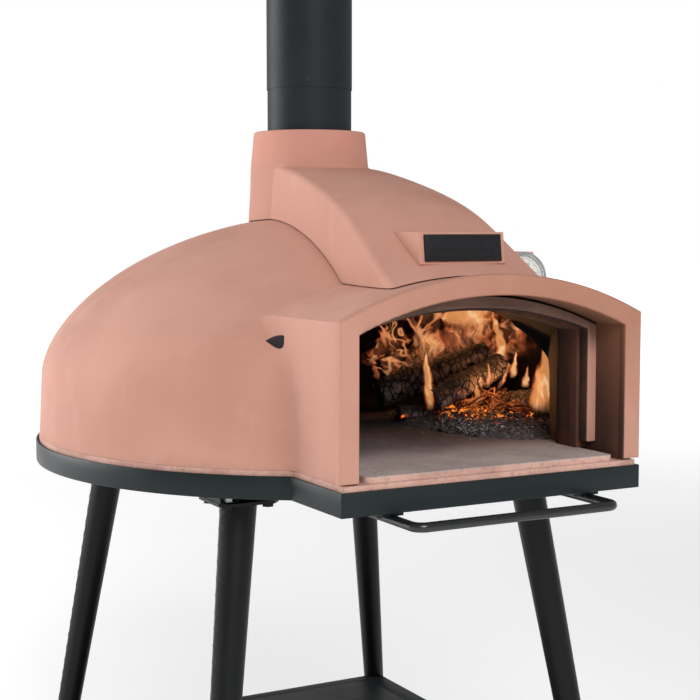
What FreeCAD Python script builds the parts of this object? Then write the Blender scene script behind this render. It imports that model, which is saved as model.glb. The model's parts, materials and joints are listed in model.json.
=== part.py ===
import FreeCAD, Part
import os
from math import acos, atan2, cos, degrees, hypot, radians, sin, sqrt

# Wood fired pizza oven on a four-legged stand. Millimetres, +Z up, mouth towards -Y.
# The functions below work from the dome's axis at the height of the tray rim;
# save() moves each piece so that the origin is on the floor, under the middle of the whole oven.

V = FreeCAD.Vector
os.makedirs("parts", exist_ok=True)

# stand and tray
RIM_Z = 800.0            # height of the tray rim above the floor
TRAY_R = 489.0
TRAY_HALF_W = 257.0      # half-width of the squared front of the tray
TRAY_FRONT_Y = -570.0
TRAY_DEPTH = 35.0
TRAY_WALL = 4.0
TRAY_SHEET = 3.0

# floor slab
SLAB_BOTTOM = -12.0
SLAB_TOP = 8.0
SLAB_GAP = 1.5           # slab edge to the inside of the tray
HEARTH_TOP = 17.25
HEARTH_HALF_W = 213.5
HEARTH_FRONT_Y = -561.0
HEARTH_CORNER = 9.0

# dome: a slightly leaning wall, then a crown whose section is a superellipse
DOME_BASE_R = 483.3
DOME_SHOULDER_R = 477.7
DOME_SHOULDER_Z = 110.0
DOME_RISE = 270.2
CROWN_POWER_R = 1.84
CROWN_POWER_Z = 1.71
CAP_R = 60.0             # the top of the crown, inside this radius, is a piece of a sphere
SHELL_T = 14.0
BLANKET_T = 18.0
INNER_DOME_T = 26.0
SKIN_GAP = 1.0           # air between one shell of the dome and the next

# entrance: every arch is a segment of a circle on the line x = 0
ARCH_CENTRE_Z = -285.7
PORCH_HALF_W = 250.0
PORCH_R = 572.7
PORCH_FRONT_Y = -555.6
PORCH_BLEND = 22.0       # soft corner where the porch meets the dome
JAMB_HALF_W = 227.0
JAMB_R = 547.9
FRAME_HALF_W = 258.0
FRAME_R = 578.7
FRAME_FRONT_Y = -569.0
FRAME_BACK_Y = -556.0
FRAME_BOTTOM = 10.4
FRAME_ROUND = 3.5
DOOR_ARCH_CENTRE_Z = -370.0
DOOR_ARCH_HALF_W = 209.8
DOOR_ARCH_R = 611.0
DOOR_ARCH_FRONT_Y = -501.5
DOOR_ARCH_BACK_Y = -480.3
DOOR_ARCH_BOTTOM = 29.0
THROAT_HALF_W = 205.0
THROAT_R = 606.0
THROAT_FRONT_Y = -480.0
THROAT_BACK_Y = -430.3
NECK_FRONT_Y = -430.0
NECK_T = 12.0
SPLAY_HALF_W = 207.0     # behind the throat the way in widens, as far as the inside of the dome
SPLAY = 0.58             # sideways run per unit of depth
SPLAY_BACK_Y = -300.0
SMOKE_SLOT_HALF_W = 88.0
SMOKE_SLOT_FRONT_Y = -425.0
SMOKE_SLOT_BACK_Y = -365.0

# flue hood: stations from the back to the front
# (y, half-width at the foot, half-width at the crest, crest height, crown height)
HOOD_STATIONS = [
    (30.0, 108.0, 90.0, 460.0, 463.0),
    (-70.0, 112.0, 97.0, 456.0, 461.0),
    (-205.0, 119.0, 112.0, 423.0, 436.0),
    (-343.0, 133.0, 126.0, 369.0, 394.0),
    (-425.0, 141.0, 134.0, 318.0, 338.0),
    (-482.0, 145.0, 137.0, 283.0, 300.0),
    (-545.0, 147.0, 137.0, 237.0, 254.0),
]
HOOD_FOOT_Z = 180.0
HOOD_T = 15.0
HOOD_CREST_ROUND = 12.0
HOOD_SEAL_T = 2.0
HOOD_SEAL_INSET = 3.0
COLLAR_SECTION = [(109.0, 300.0), (108.0, 372.0), (103.8, 462.0), (98.0, 525.0)]
COLLAR_TOP = 525.0
COLLAR_BORE = 80.0
COLLAR_LEDGE_BORE = 68.0
COLLAR_LEDGE_Z = 470.0
COLLAR_ROUND = 5.0
COLLAR_BLEND = 8.0       # soft corner between the collar and the hood

# flue pipe
FLUE_Y = 27.7
PIPE_R = 75.0
PIPE_WALL = 1.1
STUB_R = 73.8
STUB_WALL = 1.4
PIPE_JOINT_Z = 599.0
PIPE_OVERLAP = 45.0
PIPE_LENGTH = 500.0
PIPE_SOCKET = 60.0        # free end of the pipe, above the bead that the next section stops on
BEAD_OUT = 3.0
BEAD_H = 6.0
BEAD_ROUND = 1.4
GASKET_BOTTOM = 499.0
GASKET_TOP = 519.0
GASKET_CLEARANCE = 0.3
RIVET_COUNT = 3
RIVET_Z = 611.0
RIVET_R = 2.0
RIVET_HEAD_R = 4.0
RIVET_TURN = 241.0       # degrees round the pipe, to the first rivet

# nameplate and its boss on the hood's front
PLATE_W = 133.4
PLATE_H = 39.5
PLATE_T = 4.0
PLATE_Z = 328.7
PLATE_LEAN = 6.7
BOSS_HALF_W = 75.0
BOSS_FACE_Y = -470.0
BOSS_BOTTOM = 305.0
BOSS_TOP = 352.0
BOSS_ROUND = 2.0
PLATE_STUD_R = 3.0
PLATE_STUD_X = 50.0
PLATE_STUD_LENGTH = 9.0

# thermometer on the dome's right shoulder
DIAL_X = 220.0
DIAL_Y = -312.0          # where the case sits on its pad
DIAL_Z = 279.0
DIAL_LEAN = 15.0         # degrees that the dial looks up
CASE_R = 35.0
CASE_T = 12.0
BEZEL_R = 37.0
BEZEL_INNER_R = 33.0
PAD_HALF_W = 29.0
PAD_TOP = 318.5
PAD_ROUND = 4.0
PROBE_R = 3.0
PROBE_HOLE_R = 4.0
PROBE_LENGTH = 205.0

# legs, shelf and feet
LEG_CENTRE_Y = 36.2
LEG_TOP_X = 268.1        # leg axis at the leg plate, from the middle
LEG_TOP_Y = 292.1
LEG_SPLAY = 0.14         # outward run per unit of drop, along X and along Y
LEG_TOP_R = 29.0
LEG_TAPER = 0.015        # radius lost per unit of drop
LEG_WALL = 2.0
BEARER_H = 20.0
BEARER_W = 30.0
BEARER_WALL = 2.0
BEARER_END_Y = 333.8     # half-length of a bearer
LEG_PLATE_HALF = 50.0
LEG_PLATE_T = 5.0
LEG_PLATE_CHAMFER = 12.0
LEG_BOLT_OFFSET = 34.0
LEG_BOLT_R = 5.0
FOOT_PAD_R = 20.0
FOOT_PAD_T = 6.0
FOOT_PLUG = 18.0
SHELF_TOP = -606.7
SHELF_T = 4.0
SHELF_HALF_X = 353.6
SHELF_HALF_Y = 364.3
SHELF_TAB_T = 3.0
SHELF_TAB_W = 34.0
SHELF_TAB_REACH = 62.0
SHELF_SCREW_REACH = 46.0
SHELF_SCREW_R = 2.5

# rail under the front edge
RAIL_R = 7.0
RAIL_HALF_W = 170.0
RAIL_FRONT_Y = -625.4
RAIL_BACK_Y = -430.0
RAIL_Z = -45.8
RAIL_BEND = 16.0
RAIL_PLATE_W = 34.0
RAIL_SCREW_R = 3.0

# firewood: (one end, other end, radius)
LOGS = {
    "log_left": (V(95, -52, 64), V(305, -82, 128), 27.0),
    "log_front": (V(146, -152, 60), V(298, -142, 114), 25.0),
    "log_back": (V(160, 48, 84), V(335, 8, 142), 33.0),
    "log_small": (V(110, -98, 36), V(186, -106, 36), 15.0),
    "log_right": (V(312, -246, 60), V(280, -118, 48), 20.0),
}
EMBER_CENTRE = V(222, -165, HEARTH_TOP)
EMBER_RADII = (118.0, 240.0, 22.0)
EMBER_TURN = 6.0

FLOOR_Z = -RIM_Z
DOME_Y = (RAIL_R - RAIL_FRONT_Y - TRAY_R) / 2
INNER_SKIN = SHELL_T + BLANKET_T
CAVITY_SKIN = SHELL_T + BLANKET_T + INNER_DOME_T
SPLAY_ROOM = 1.0 + NECK_T * sqrt(1 + SPLAY ** 2)


def save(shape, node):
    placed = shape.copy()
    placed.translate(V(0, DOME_Y, RIM_Z))
    placed.exportStep("parts/" + node + ".step")


def largest(shape):
    return max(shape.Solids, key=lambda solid: solid.Volume)


def box(x0, x1, y0, y1, z0, z1):
    return Part.makeBox(x1 - x0, y1 - y0, z1 - z0, V(x0, y0, z0))


def rod(start, end, radius):
    return Part.makeCylinder(radius, (end - start).Length, start, end - start)


def tube(outer_r, inner_r, start, end):
    return rod(start, end, outer_r).cut(rod(start, end, inner_r))


def turned(points):
    """A solid of revolution about the dome's axis, from (radius, height) points."""
    outline = Part.makePolygon([V(r, 0, z) for r, z in points + points[:1]])
    return Part.Face(outline).revolve(V(0, 0, 0), V(0, 0, 1), 360)


def keyhole(radius, half_w, front_y, z0, z1):
    """A disc with a squared front, as a plate from z0 to z1."""
    side_y = -sqrt(radius ** 2 - half_w ** 2)
    corners = [V(-half_w, side_y, z0), V(-half_w, front_y, z0), V(half_w, front_y, z0), V(half_w, side_y, z0)]
    edges = [Part.LineSegment(a, b).toShape() for a, b in zip(corners, corners[1:])]
    edges.append(Part.Arc(corners[3], V(0, radius, z0), corners[0]).toShape())
    return Part.Face(Part.Wire(edges)).extrude(V(0, 0, z1 - z0))


def arch(half_w, radius, z0, y0, y1, centre_z=ARCH_CENTRE_Z):
    """A solid arch from y0 to y1: straight sides from z0, and a roof of the given radius."""
    spring_z = centre_z + sqrt(radius ** 2 - half_w ** 2)
    feet = [V(half_w, y0, z0), V(-half_w, y0, z0)]
    springs = [V(-half_w, y0, spring_z), V(half_w, y0, spring_z)]
    roof = Part.Arc(springs[0], V(0, y0, centre_z + radius), springs[1]).toShape()
    sides = [
        Part.LineSegment(feet[0], feet[1]).toShape(),
        Part.LineSegment(feet[1], springs[0]).toShape(),
        roof,
        Part.LineSegment(springs[1], feet[0]).toShape(),
    ]
    return Part.Face(Part.Wire(sides)).extrude(V(0, y1 - y0, 0))


def dome(skin, z0=SLAB_TOP, cap_r=CAP_R):
    """The solid inside the dome's outer surface, `skin` in from it (negative: outside it)."""
    shoulder_r = DOME_SHOULDER_R - skin
    rise = DOME_RISE - skin
    steps = 20
    last_angle = acos((cap_r / shoulder_r) ** (CROWN_POWER_R / 2))
    crown = []
    for step in range(steps + 1):
        angle = last_angle * step / steps
        r = shoulder_r * max(cos(angle), 0) ** (2 / CROWN_POWER_R)
        z = DOME_SHOULDER_Z + rise * sin(angle) ** (2 / CROWN_POWER_Z)
        crown.append(V(r, 0, z))
    wall_slope = (DOME_BASE_R - DOME_SHOULDER_R) / DOME_SHOULDER_Z
    base = V(shoulder_r + wall_slope * (DOME_SHOULDER_Z - z0), 0, z0)
    edges = [
        Part.LineSegment(V(0, 0, z0), base).toShape(),
        Part.LineSegment(base, crown[0]).toShape(),
    ]
    curve = Part.BSplineCurve()
    if cap_r == 0:
        apex = V(0, 0, DOME_SHOULDER_Z + rise)
        crown[-1] = apex
        curve.interpolate(Points=crown, InitialTangent=V(0, 0, 1), FinalTangent=V(-1, 0, 0))
        edges.append(curve.toShape())
    else:
        share = (cap_r / shoulder_r) ** CROWN_POWER_R
        fall = rise / CROWN_POWER_Z * (1 - share) ** (1 / CROWN_POWER_Z - 1) * CROWN_POWER_R * share / cap_r
        tilt = atan2(fall, 1)
        curve.interpolate(Points=crown, InitialTangent=V(0, 0, 1), FinalTangent=V(-cos(tilt), 0, sin(tilt)))
        cap_sphere_r = cap_r / sin(tilt)
        cap_centre_z = crown[-1].z - cap_sphere_r * cos(tilt)
        cap_middle = V(cap_sphere_r * sin(tilt / 2), 0, cap_centre_z + cap_sphere_r * cos(tilt / 2))
        apex = V(0, 0, cap_centre_z + cap_sphere_r)
        edges.append(curve.toShape())
        edges.append(Part.Arc(crown[-1], cap_middle, apex).toShape())
    edges.append(Part.LineSegment(apex, V(0, 0, z0)).toShape())
    return Part.Face(Part.Wire(edges)).revolve(V(0, 0, 0), V(0, 0, 1), 360)


def splay(extra, roof_r, z0):
    """The widening way in behind the throat, `extra` bigger on each side."""
    half_w = SPLAY_HALF_W + extra
    wide = half_w + SPLAY * (SPLAY_BACK_Y - NECK_FRONT_Y)
    corners = [
        V(-half_w, NECK_FRONT_Y, z0),
        V(half_w, NECK_FRONT_Y, z0),
        V(wide, SPLAY_BACK_Y, z0),
        V(-wide, SPLAY_BACK_Y, z0),
    ]
    plan = Part.Face(Part.makePolygon(corners + corners[:1]))
    return plan.extrude(V(0, 0, 400)).common(arch(400, roof_r, z0, NECK_FRONT_Y - 1, SPLAY_BACK_Y + 10))


def porch_outer(grow=0.0):
    return arch(PORCH_HALF_W + grow, PORCH_R + grow, SLAB_TOP, PORCH_FRONT_Y, -150)


def smoke_slot():
    half = SMOKE_SLOT_HALF_W
    return box(-half, half, SMOKE_SLOT_FRONT_Y, SMOKE_SLOT_BACK_Y, 180, 330)


def dial_point(along, up=0.0, side=0.0):
    """A point in front of the thermometer's pad (along > 0 is outwards), in the dial's own directions."""
    lean = radians(DIAL_LEAN)
    y = DIAL_Y - along * cos(lean) + up * sin(lean)
    z = DIAL_Z + along * sin(lean) + up * cos(lean)
    return V(DIAL_X + side, y, z)


def probe_hole():
    return rod(dial_point(30), dial_point(-PROBE_LENGTH - 10), PROBE_HOLE_R)


def tray_pan():
    pan = keyhole(TRAY_R, TRAY_HALF_W, TRAY_FRONT_Y, -TRAY_DEPTH, 0)
    inside = (TRAY_R - TRAY_WALL, TRAY_HALF_W - TRAY_WALL, TRAY_FRONT_Y + TRAY_WALL)
    return pan.cut(keyhole(*inside, TRAY_SHEET - TRAY_DEPTH, 1))


def insulation_board():
    gap = TRAY_WALL + 1
    outline = (TRAY_R - gap, TRAY_HALF_W - gap, TRAY_FRONT_Y + gap)
    return keyhole(*outline, TRAY_SHEET - TRAY_DEPTH, SLAB_BOTTOM)


def floor_slab():
    gap = TRAY_WALL + SLAB_GAP
    slab = keyhole(TRAY_R - gap, TRAY_HALF_W - gap, TRAY_FRONT_Y + TRAY_WALL, SLAB_BOTTOM, SLAB_TOP)
    cavity_r = DOME_BASE_R - CAVITY_SKIN - 2
    raised = box(-HEARTH_HALF_W, HEARTH_HALF_W, HEARTH_FRONT_Y, -100, SLAB_TOP, HEARTH_TOP)
    front_edges = [
        e for e in raised.Edges
        if abs(e.BoundBox.YMax - HEARTH_FRONT_Y) < 0.1 and e.BoundBox.ZLength > 1
    ]
    raised = raised.makeFillet(HEARTH_CORNER, front_edges)
    disc = rod(V(0, 0, SLAB_TOP), V(0, 0, HEARTH_TOP), cavity_r)
    wider = splay(-0.5, JAMB_R, SLAB_TOP).common(box(-400, 400, -500, 0, SLAB_TOP, HEARTH_TOP))
    return slab.fuse([raised, disc, wider]).removeSplitter()


def sampled(edge, count=5):
    first, last = edge.FirstParameter, edge.LastParameter
    return [edge.valueAt(first + (last - first) * step / (count - 1)) for step in range(count)]


def porch_corner_edges(skin):
    """Edges where the porch's sides and roof meet the dome."""
    edges = []
    for edge in skin.Edges:
        span = edge.BoundBox
        behind_porch = span.YMax < -200 and span.YMin > -450
        if behind_porch and span.ZMax > 30 and span.YLength > 3:
            edges.append(edge)
    return edges


def thermometer_pad():
    sides = (DIAL_X - PAD_HALF_W, DIAL_X + PAD_HALF_W)
    slope = box(*sides, DIAL_Y, DIAL_Y + 170, 180, PAD_TOP + 60)
    slope.rotate(V(DIAL_X, DIAL_Y, DIAL_Z), V(1, 0, 0), -DIAL_LEAN)
    pad = slope.common(box(100, 400, -500, -160, 225, PAD_TOP))
    long_edges = [e for e in pad.Edges if e.BoundBox.YLength > 60 and e.BoundBox.ZMin > PAD_TOP - 1]
    return pad.makeFillet(PAD_ROUND, long_edges)


def outer_form():
    """The dome and the porch as one solid, with a soft corner between them."""
    form = dome(0, cap_r=0).fuse(porch_outer()).removeSplitter()
    return form.makeFillet(PORCH_BLEND, porch_corner_edges(form))


def outer_shell():
    skin = outer_form().fuse(thermometer_pad()).removeSplitter()
    skin = skin.cut(rod(dial_point(0), dial_point(60), BEZEL_R + 1.5))
    inside = arch(JAMB_HALF_W, JAMB_R, SLAB_TOP - 1, PORCH_FRONT_Y - 1, -150)
    wider = splay(SPLAY_ROOM, JAMB_R, SLAB_TOP - 1)
    return skin.cut([dome(SHELL_T, SLAB_TOP - 1), inside, wider, smoke_slot(), probe_hole()])


def insulation_blanket():
    neck = arch(JAMB_HALF_W, JAMB_R, SLAB_TOP - 1, -600, -150)
    inside = dome(INNER_SKIN - 2 * SKIN_GAP, SLAB_TOP - 1)
    wider = splay(SPLAY_ROOM, JAMB_R, SLAB_TOP - 1)
    return dome(SHELL_T + SKIN_GAP).cut([inside, neck, wider, probe_hole()])


def inner_dome():
    gap = 1.0
    neck = arch(JAMB_HALF_W - gap, JAMB_R - gap, SLAB_TOP, NECK_FRONT_Y, -200)
    bore_half_w = JAMB_HALF_W - gap - NECK_T
    bore_r = JAMB_R - gap - NECK_T
    bore = arch(bore_half_w, bore_r, SLAB_TOP - 1, NECK_FRONT_Y - 1, -150)
    body = dome(INNER_SKIN).fuse([neck, splay(SPLAY_ROOM - gap, JAMB_R - gap, SLAB_TOP)])
    wider = splay(0, bore_r, SLAB_TOP - 1)
    body = body.cut([dome(CAVITY_SKIN, SLAB_TOP - 1), bore, wider, smoke_slot(), probe_hole()])
    return largest(body)


def inner_dome_half(side):
    """The refractory dome is cast in two halves that meet on the line x = 0."""
    x0, x1 = sorted((0, side * 600))
    return largest(inner_dome().common(box(x0, x1, -600, 600, 0, 500)))


def throat_arch():
    body = arch(JAMB_HALF_W - 1, JAMB_R - 1, HEARTH_TOP, THROAT_FRONT_Y, THROAT_BACK_Y)
    bore = arch(THROAT_HALF_W, THROAT_R, HEARTH_TOP - 1, THROAT_FRONT_Y - 1, THROAT_BACK_Y + 1, DOOR_ARCH_CENTRE_Z)
    return body.cut(bore)


def door_arch():
    y0, y1 = DOOR_ARCH_FRONT_Y, DOOR_ARCH_BACK_Y
    body = arch(JAMB_HALF_W - 0.4, JAMB_R - 3.5, DOOR_ARCH_BOTTOM, y0, y1)
    bore = arch(DOOR_ARCH_HALF_W, DOOR_ARCH_R, DOOR_ARCH_BOTTOM - 1, y0 - 1, y1 + 1, DOOR_ARCH_CENTRE_Z)
    return body.cut(bore)


def front_arch():
    y0, y1 = FRAME_FRONT_Y, FRAME_BACK_Y
    body = arch(FRAME_HALF_W, FRAME_R, FRAME_BOTTOM, y0, y1)
    body = body.cut(arch(JAMB_HALF_W, JAMB_R, FRAME_BOTTOM - 1, y0 - 1, y1 + 1))
    front = [e for e in body.Edges if e.BoundBox.YMax < y0 + 0.1]
    return body.makeFillet(FRAME_ROUND, front)


def hood_section(station, inset):
    y, foot_w, crest_w, crest_z, crown_z = station
    foot_w = foot_w - inset
    crest_w = crest_w - inset
    crest_z = crest_z - inset
    crown_z = crown_z - inset
    left, right = V(-crest_w, y, crest_z), V(crest_w, y, crest_z)
    feet = [V(-foot_w, y, HOOD_FOOT_Z), V(foot_w, y, HOOD_FOOT_Z)]
    return Part.Wire([
        Part.LineSegment(feet[0], left).toShape(),
        Part.Arc(left, V(0, y, crown_z), right).toShape(),
        Part.LineSegment(right, feet[1]).toShape(),
        Part.LineSegment(feet[1], feet[0]).toShape(),
    ])


def hood_body(inset=0.0):
    """The hood's long body and its round collar, `inset` in from the outside."""
    wires = [hood_section(station, inset) for station in HOOD_STATIONS]
    body = Part.makeLoft(wires, True, False)
    if inset == 0:
        crest_z = HOOD_STATIONS[0][3]
        crests = [
            e for e in body.Edges
            if e.BoundBox.YLength > 400 and e.BoundBox.ZMax > crest_z - 20
        ]
        body = body.makeFillet(HOOD_CREST_ROUND, crests)
    return body


def collar(inset=0.0):
    outline = [(0, COLLAR_SECTION[0][1])] + [(r - inset, z) for r, z in COLLAR_SECTION] + [(0, COLLAR_TOP)]
    solid = turned(outline)
    solid.translate(V(0, FLUE_Y, 0))
    if inset == 0:
        top = [e for e in solid.Edges if e.BoundBox.ZMin > COLLAR_TOP - 0.1 and len(e.Vertexes) == 1]
        solid = solid.makeFillet(COLLAR_ROUND, top)
    return solid


def nameplate_point(along, up=0.0, side=0.0):
    """A point in front of the boss's face (along > 0 is outwards), in the plate's own directions."""
    lean = radians(PLATE_LEAN)
    y = BOSS_FACE_Y - along * cos(lean) + up * sin(lean)
    z = PLATE_Z + along * sin(lean) + up * cos(lean)
    return V(side, y, z)


def nameplate_boss():
    top = nameplate_point(0, BOSS_TOP - PLATE_Z)
    bottom = nameplate_point(0, BOSS_BOTTOM - PLATE_Z)
    outline = [bottom, top, V(0, -380, top.z), V(0, -380, bottom.z - 20), V(0, -440, bottom.z - 20), bottom]
    face = Part.Face(Part.makePolygon(outline))
    solid = face.extrude(V(2 * BOSS_HALF_W, 0, 0))
    solid.translate(V(-BOSS_HALF_W, 0, 0))
    front = [e for e in solid.Edges if e.BoundBox.YMax < BOSS_FACE_Y + 4]
    return solid.makeFillet(BOSS_ROUND, front)


def stud_holes(radius):
    sides = (-PLATE_STUD_X, PLATE_STUD_X)
    return [rod(nameplate_point(0.2, 0, s), nameplate_point(-PLATE_STUD_LENGTH - 0.5, 0, s), radius) for s in sides]


def hood_hollow():
    duct = hood_body(HOOD_T)
    duct = duct.common(box(-200, 200, -490, 25, HOOD_FOOT_Z - 1, 600))
    well = rod(V(0, FLUE_Y, 300), V(0, FLUE_Y, COLLAR_LEDGE_Z - 18), COLLAR_SECTION[2][0] - HOOD_T - 8)
    ledge = rod(V(0, FLUE_Y, 300), V(0, FLUE_Y, COLLAR_TOP + 1), COLLAR_LEDGE_BORE)
    socket = rod(V(0, FLUE_Y, COLLAR_LEDGE_Z), V(0, FLUE_Y, COLLAR_TOP + 1), COLLAR_BORE)
    return duct.fuse([well, ledge, socket])


def under_hood(grow):
    return dome(-grow, 100, cap_r=0).fuse(arch(PORCH_HALF_W + grow, PORCH_R + grow, 100, -700, -150))


def collar_corner_edges(body):
    """Edges where the round collar meets the hood's long body, in front of the collar's axis."""
    edges = []
    for edge in body.Edges:
        reaches = [hypot(p.x, p.y - FLUE_Y) for p in sampled(edge)]
        on_collar = min(reaches) > 95 and max(reaches) < 112
        heights = [p.z for p in sampled(edge)]
        in_front = max(p.y for p in sampled(edge)) < FLUE_Y - 5
        if on_collar and in_front and min(heights) > 300 and max(heights) < 500:
            edges.append(edge)
    return edges


def flue_hood():
    body = hood_body().fuse(collar()).removeSplitter()
    body = body.makeFillet(COLLAR_BLEND, collar_corner_edges(body))
    body = body.fuse(nameplate_boss()).removeSplitter()
    body = body.cut([hood_hollow(), under_hood(HOOD_SEAL_T)] + stud_holes(PLATE_STUD_R + 0.1))
    clear_y = FRAME_BACK_Y + 0.5
    body = body.cut(box(-300, 300, -700, clear_y, 0, 600))
    return largest(body)


def hood_seal():
    inset = HOOD_SEAL_INSET
    ring = hood_body(inset).fuse(collar(inset)).cut(hood_hollow())
    ring = ring.common(under_hood(HOOD_SEAL_T)).cut(under_hood(0)).cut(outer_form())
    ring = ring.common(box(-300, 300, FRAME_BACK_Y + 1, 200, 100, 600))
    return largest(ring)


def flue_gasket():
    inner = STUB_R + GASKET_CLEARANCE
    return tube(COLLAR_BORE, inner, V(0, FLUE_Y, GASKET_BOTTOM), V(0, FLUE_Y, GASKET_TOP))


def rivet_line(index, reach_in, reach_out):
    angle = radians(RIVET_TURN + index * 360 / RIVET_COUNT)
    away = V(cos(angle), sin(angle), 0)
    centre = V(0, FLUE_Y, RIVET_Z)
    return centre + away * reach_in, centre + away * reach_out


def rivet_holes():
    return [rod(*rivet_line(i, STUB_R - 6, PIPE_R + 6), RIVET_R + 0.1) for i in range(RIVET_COUNT)]


def flue_stub():
    top = V(0, FLUE_Y, PIPE_JOINT_Z + PIPE_OVERLAP)
    return tube(STUB_R, STUB_R - STUB_WALL, V(0, FLUE_Y, COLLAR_LEDGE_Z), top).cut(rivet_holes())


def stop_bead(top_z):
    low = V(0, FLUE_Y, top_z - BEAD_H)
    high = V(0, FLUE_Y, top_z)
    ring = rod(low, high, PIPE_R + BEAD_OUT)
    rims = [e for e in ring.Edges if len(e.Vertexes) == 1]
    return ring.makeFillet(BEAD_ROUND, rims).cut(rod(low, high, PIPE_R - PIPE_WALL / 2))


def flue_pipe():
    bottom = V(0, FLUE_Y, PIPE_JOINT_Z)
    top = V(0, FLUE_Y, PIPE_JOINT_Z + PIPE_LENGTH)
    stop = PIPE_JOINT_Z + PIPE_OVERLAP
    body = tube(PIPE_R, PIPE_R - PIPE_WALL, bottom, top).fuse(stop_bead(top.z - PIPE_SOCKET))
    ledge = tube(PIPE_R - PIPE_WALL / 2, STUB_R - STUB_WALL - 1, V(0, FLUE_Y, stop), V(0, FLUE_Y, stop + 3))
    return body.fuse(ledge).cut(rivet_holes())


def pipe_rivets():
    rivets = []
    for index in range(RIVET_COUNT):
        shank = rod(*rivet_line(index, STUB_R - STUB_WALL - 1.5, PIPE_R + 0.5), RIVET_R)
        head = rod(*rivet_line(index, PIPE_R, PIPE_R + 1.6), RIVET_HEAD_R)
        head = head.cut(rod(V(0, FLUE_Y, RIVET_Z - 9), V(0, FLUE_Y, RIVET_Z + 9), PIPE_R + 0.02))
        rivets.append(shank.fuse(head))
    return Part.makeCompound(rivets)


def nameplate():
    plate = box(-PLATE_W / 2, PLATE_W / 2, -PLATE_T, 0, -PLATE_H / 2, PLATE_H / 2)
    face = [e for e in plate.Edges if e.BoundBox.YMax < 0.1 - PLATE_T]
    plate = plate.makeChamfer(0.8, face)
    plate.translate(V(0, BOSS_FACE_Y, PLATE_Z))
    plate.rotate(V(0, BOSS_FACE_Y, PLATE_Z), V(1, 0, 0), -PLATE_LEAN)
    sides = (-PLATE_STUD_X, PLATE_STUD_X)
    studs = [rod(nameplate_point(1, 0, s), nameplate_point(-PLATE_STUD_LENGTH, 0, s), PLATE_STUD_R) for s in sides]
    return plate.fuse(studs)


def thermometer():
    """The thermometer's pieces, by node name."""
    case = rod(dial_point(0), dial_point(CASE_T), CASE_R)
    case = case.cut(rod(dial_point(1.5), dial_point(CASE_T + 1), CASE_R - 1.2))
    case = case.cut(rod(dial_point(-1), dial_point(2), PROBE_R + 0.1))
    bezel = tube(BEZEL_R, BEZEL_INNER_R, dial_point(CASE_T - 5), dial_point(CASE_T + 3))
    bezel = bezel.cut(rod(dial_point(CASE_T - 6), dial_point(CASE_T), CASE_R + 0.1))
    dial = rod(dial_point(6), dial_point(7), CASE_R - 1.4)
    dial = dial.cut(rod(dial_point(5), dial_point(8), 1.6))
    glass = rod(dial_point(CASE_T), dial_point(CASE_T + 1.8), BEZEL_INNER_R - 0.1)
    shaft = rod(dial_point(3), dial_point(9.8), 1.0)
    hub = rod(dial_point(8.2), dial_point(9.8), 3.0)
    pointer = Part.Face(Part.makePolygon([
        dial_point(8.6, 25.0, 0), dial_point(8.6, -9.0, 1.6), dial_point(8.6, -9.0, -1.6), dial_point(8.6, 25.0, 0),
    ])).extrude(dial_point(9.2) - dial_point(8.6))
    needle = hub.fuse([shaft, pointer])
    probe = rod(dial_point(1.5), dial_point(-PROBE_LENGTH), PROBE_R)
    probe = probe.fuse(rod(dial_point(1.5), dial_point(2.8), 5.0))
    socket = rod(dial_point(0), dial_point(-9), PROBE_HOLE_R - 0.1)
    nut = socket.cut(rod(dial_point(1), dial_point(-10), PROBE_R + 0.1))
    return {
        "thermometer_case": case,
        "thermometer_bezel": bezel,
        "thermometer_dial": dial,
        "thermometer_glass": glass,
        "thermometer_needle": needle,
        "thermometer_probe": probe,
        "thermometer_ferrule": nut,
    }


def leg_axis(side_x, side_y, z):
    drop = -TRAY_DEPTH - BEARER_H - LEG_PLATE_T - z
    x = side_x * (LEG_TOP_X + LEG_SPLAY * drop)
    y = LEG_CENTRE_Y + side_y * (LEG_TOP_Y + LEG_SPLAY * drop)
    return V(x, y, z)


def leg_cone(side_x, side_y, grow):
    """A solid tapered leg, longer at both ends than the leg itself."""
    top_z = -TRAY_DEPTH - BEARER_H - LEG_PLATE_T
    high = leg_axis(side_x, side_y, top_z + 30)
    low = leg_axis(side_x, side_y, FLOOR_Z - 30)
    high_r = LEG_TOP_R + LEG_TAPER * 30 + grow
    low_r = high_r - LEG_TAPER * (top_z + 60 - FLOOR_Z)
    return Part.makeCone(high_r, low_r, (low - high).Length, high, low - high)


def leg(side_x, side_y):
    top_z = -TRAY_DEPTH - BEARER_H - LEG_PLATE_T
    pipe = leg_cone(side_x, side_y, 0).cut(leg_cone(side_x, side_y, -LEG_WALL))
    return pipe.common(box(-500, 500, -500, 600, FLOOR_Z + FOOT_PAD_T, top_z))


def foot(side_x, side_y):
    floor = leg_axis(side_x, side_y, FLOOR_Z)
    pad = rod(floor, floor + V(0, 0, FOOT_PAD_T), FOOT_PAD_R)
    rim = [e for e in pad.Edges if e.BoundBox.ZMax < FLOOR_Z + 0.1 and len(e.Vertexes) == 1]
    pad = pad.makeChamfer(1.5, rim)
    plug = leg_cone(side_x, side_y, -LEG_WALL - 0.1)
    plug = plug.common(box(-500, 500, -500, 600, FLOOR_Z + FOOT_PAD_T, FLOOR_Z + FOOT_PAD_T + FOOT_PLUG))
    return pad.fuse(plug)


def bolt_places(side_x, side_y):
    signs = (-1, 1)
    centre = leg_axis(side_x, side_y, -TRAY_DEPTH - BEARER_H - LEG_PLATE_T)
    return [centre + V(i * LEG_BOLT_OFFSET, j * LEG_BOLT_OFFSET, 0) for i in signs for j in signs]


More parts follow.
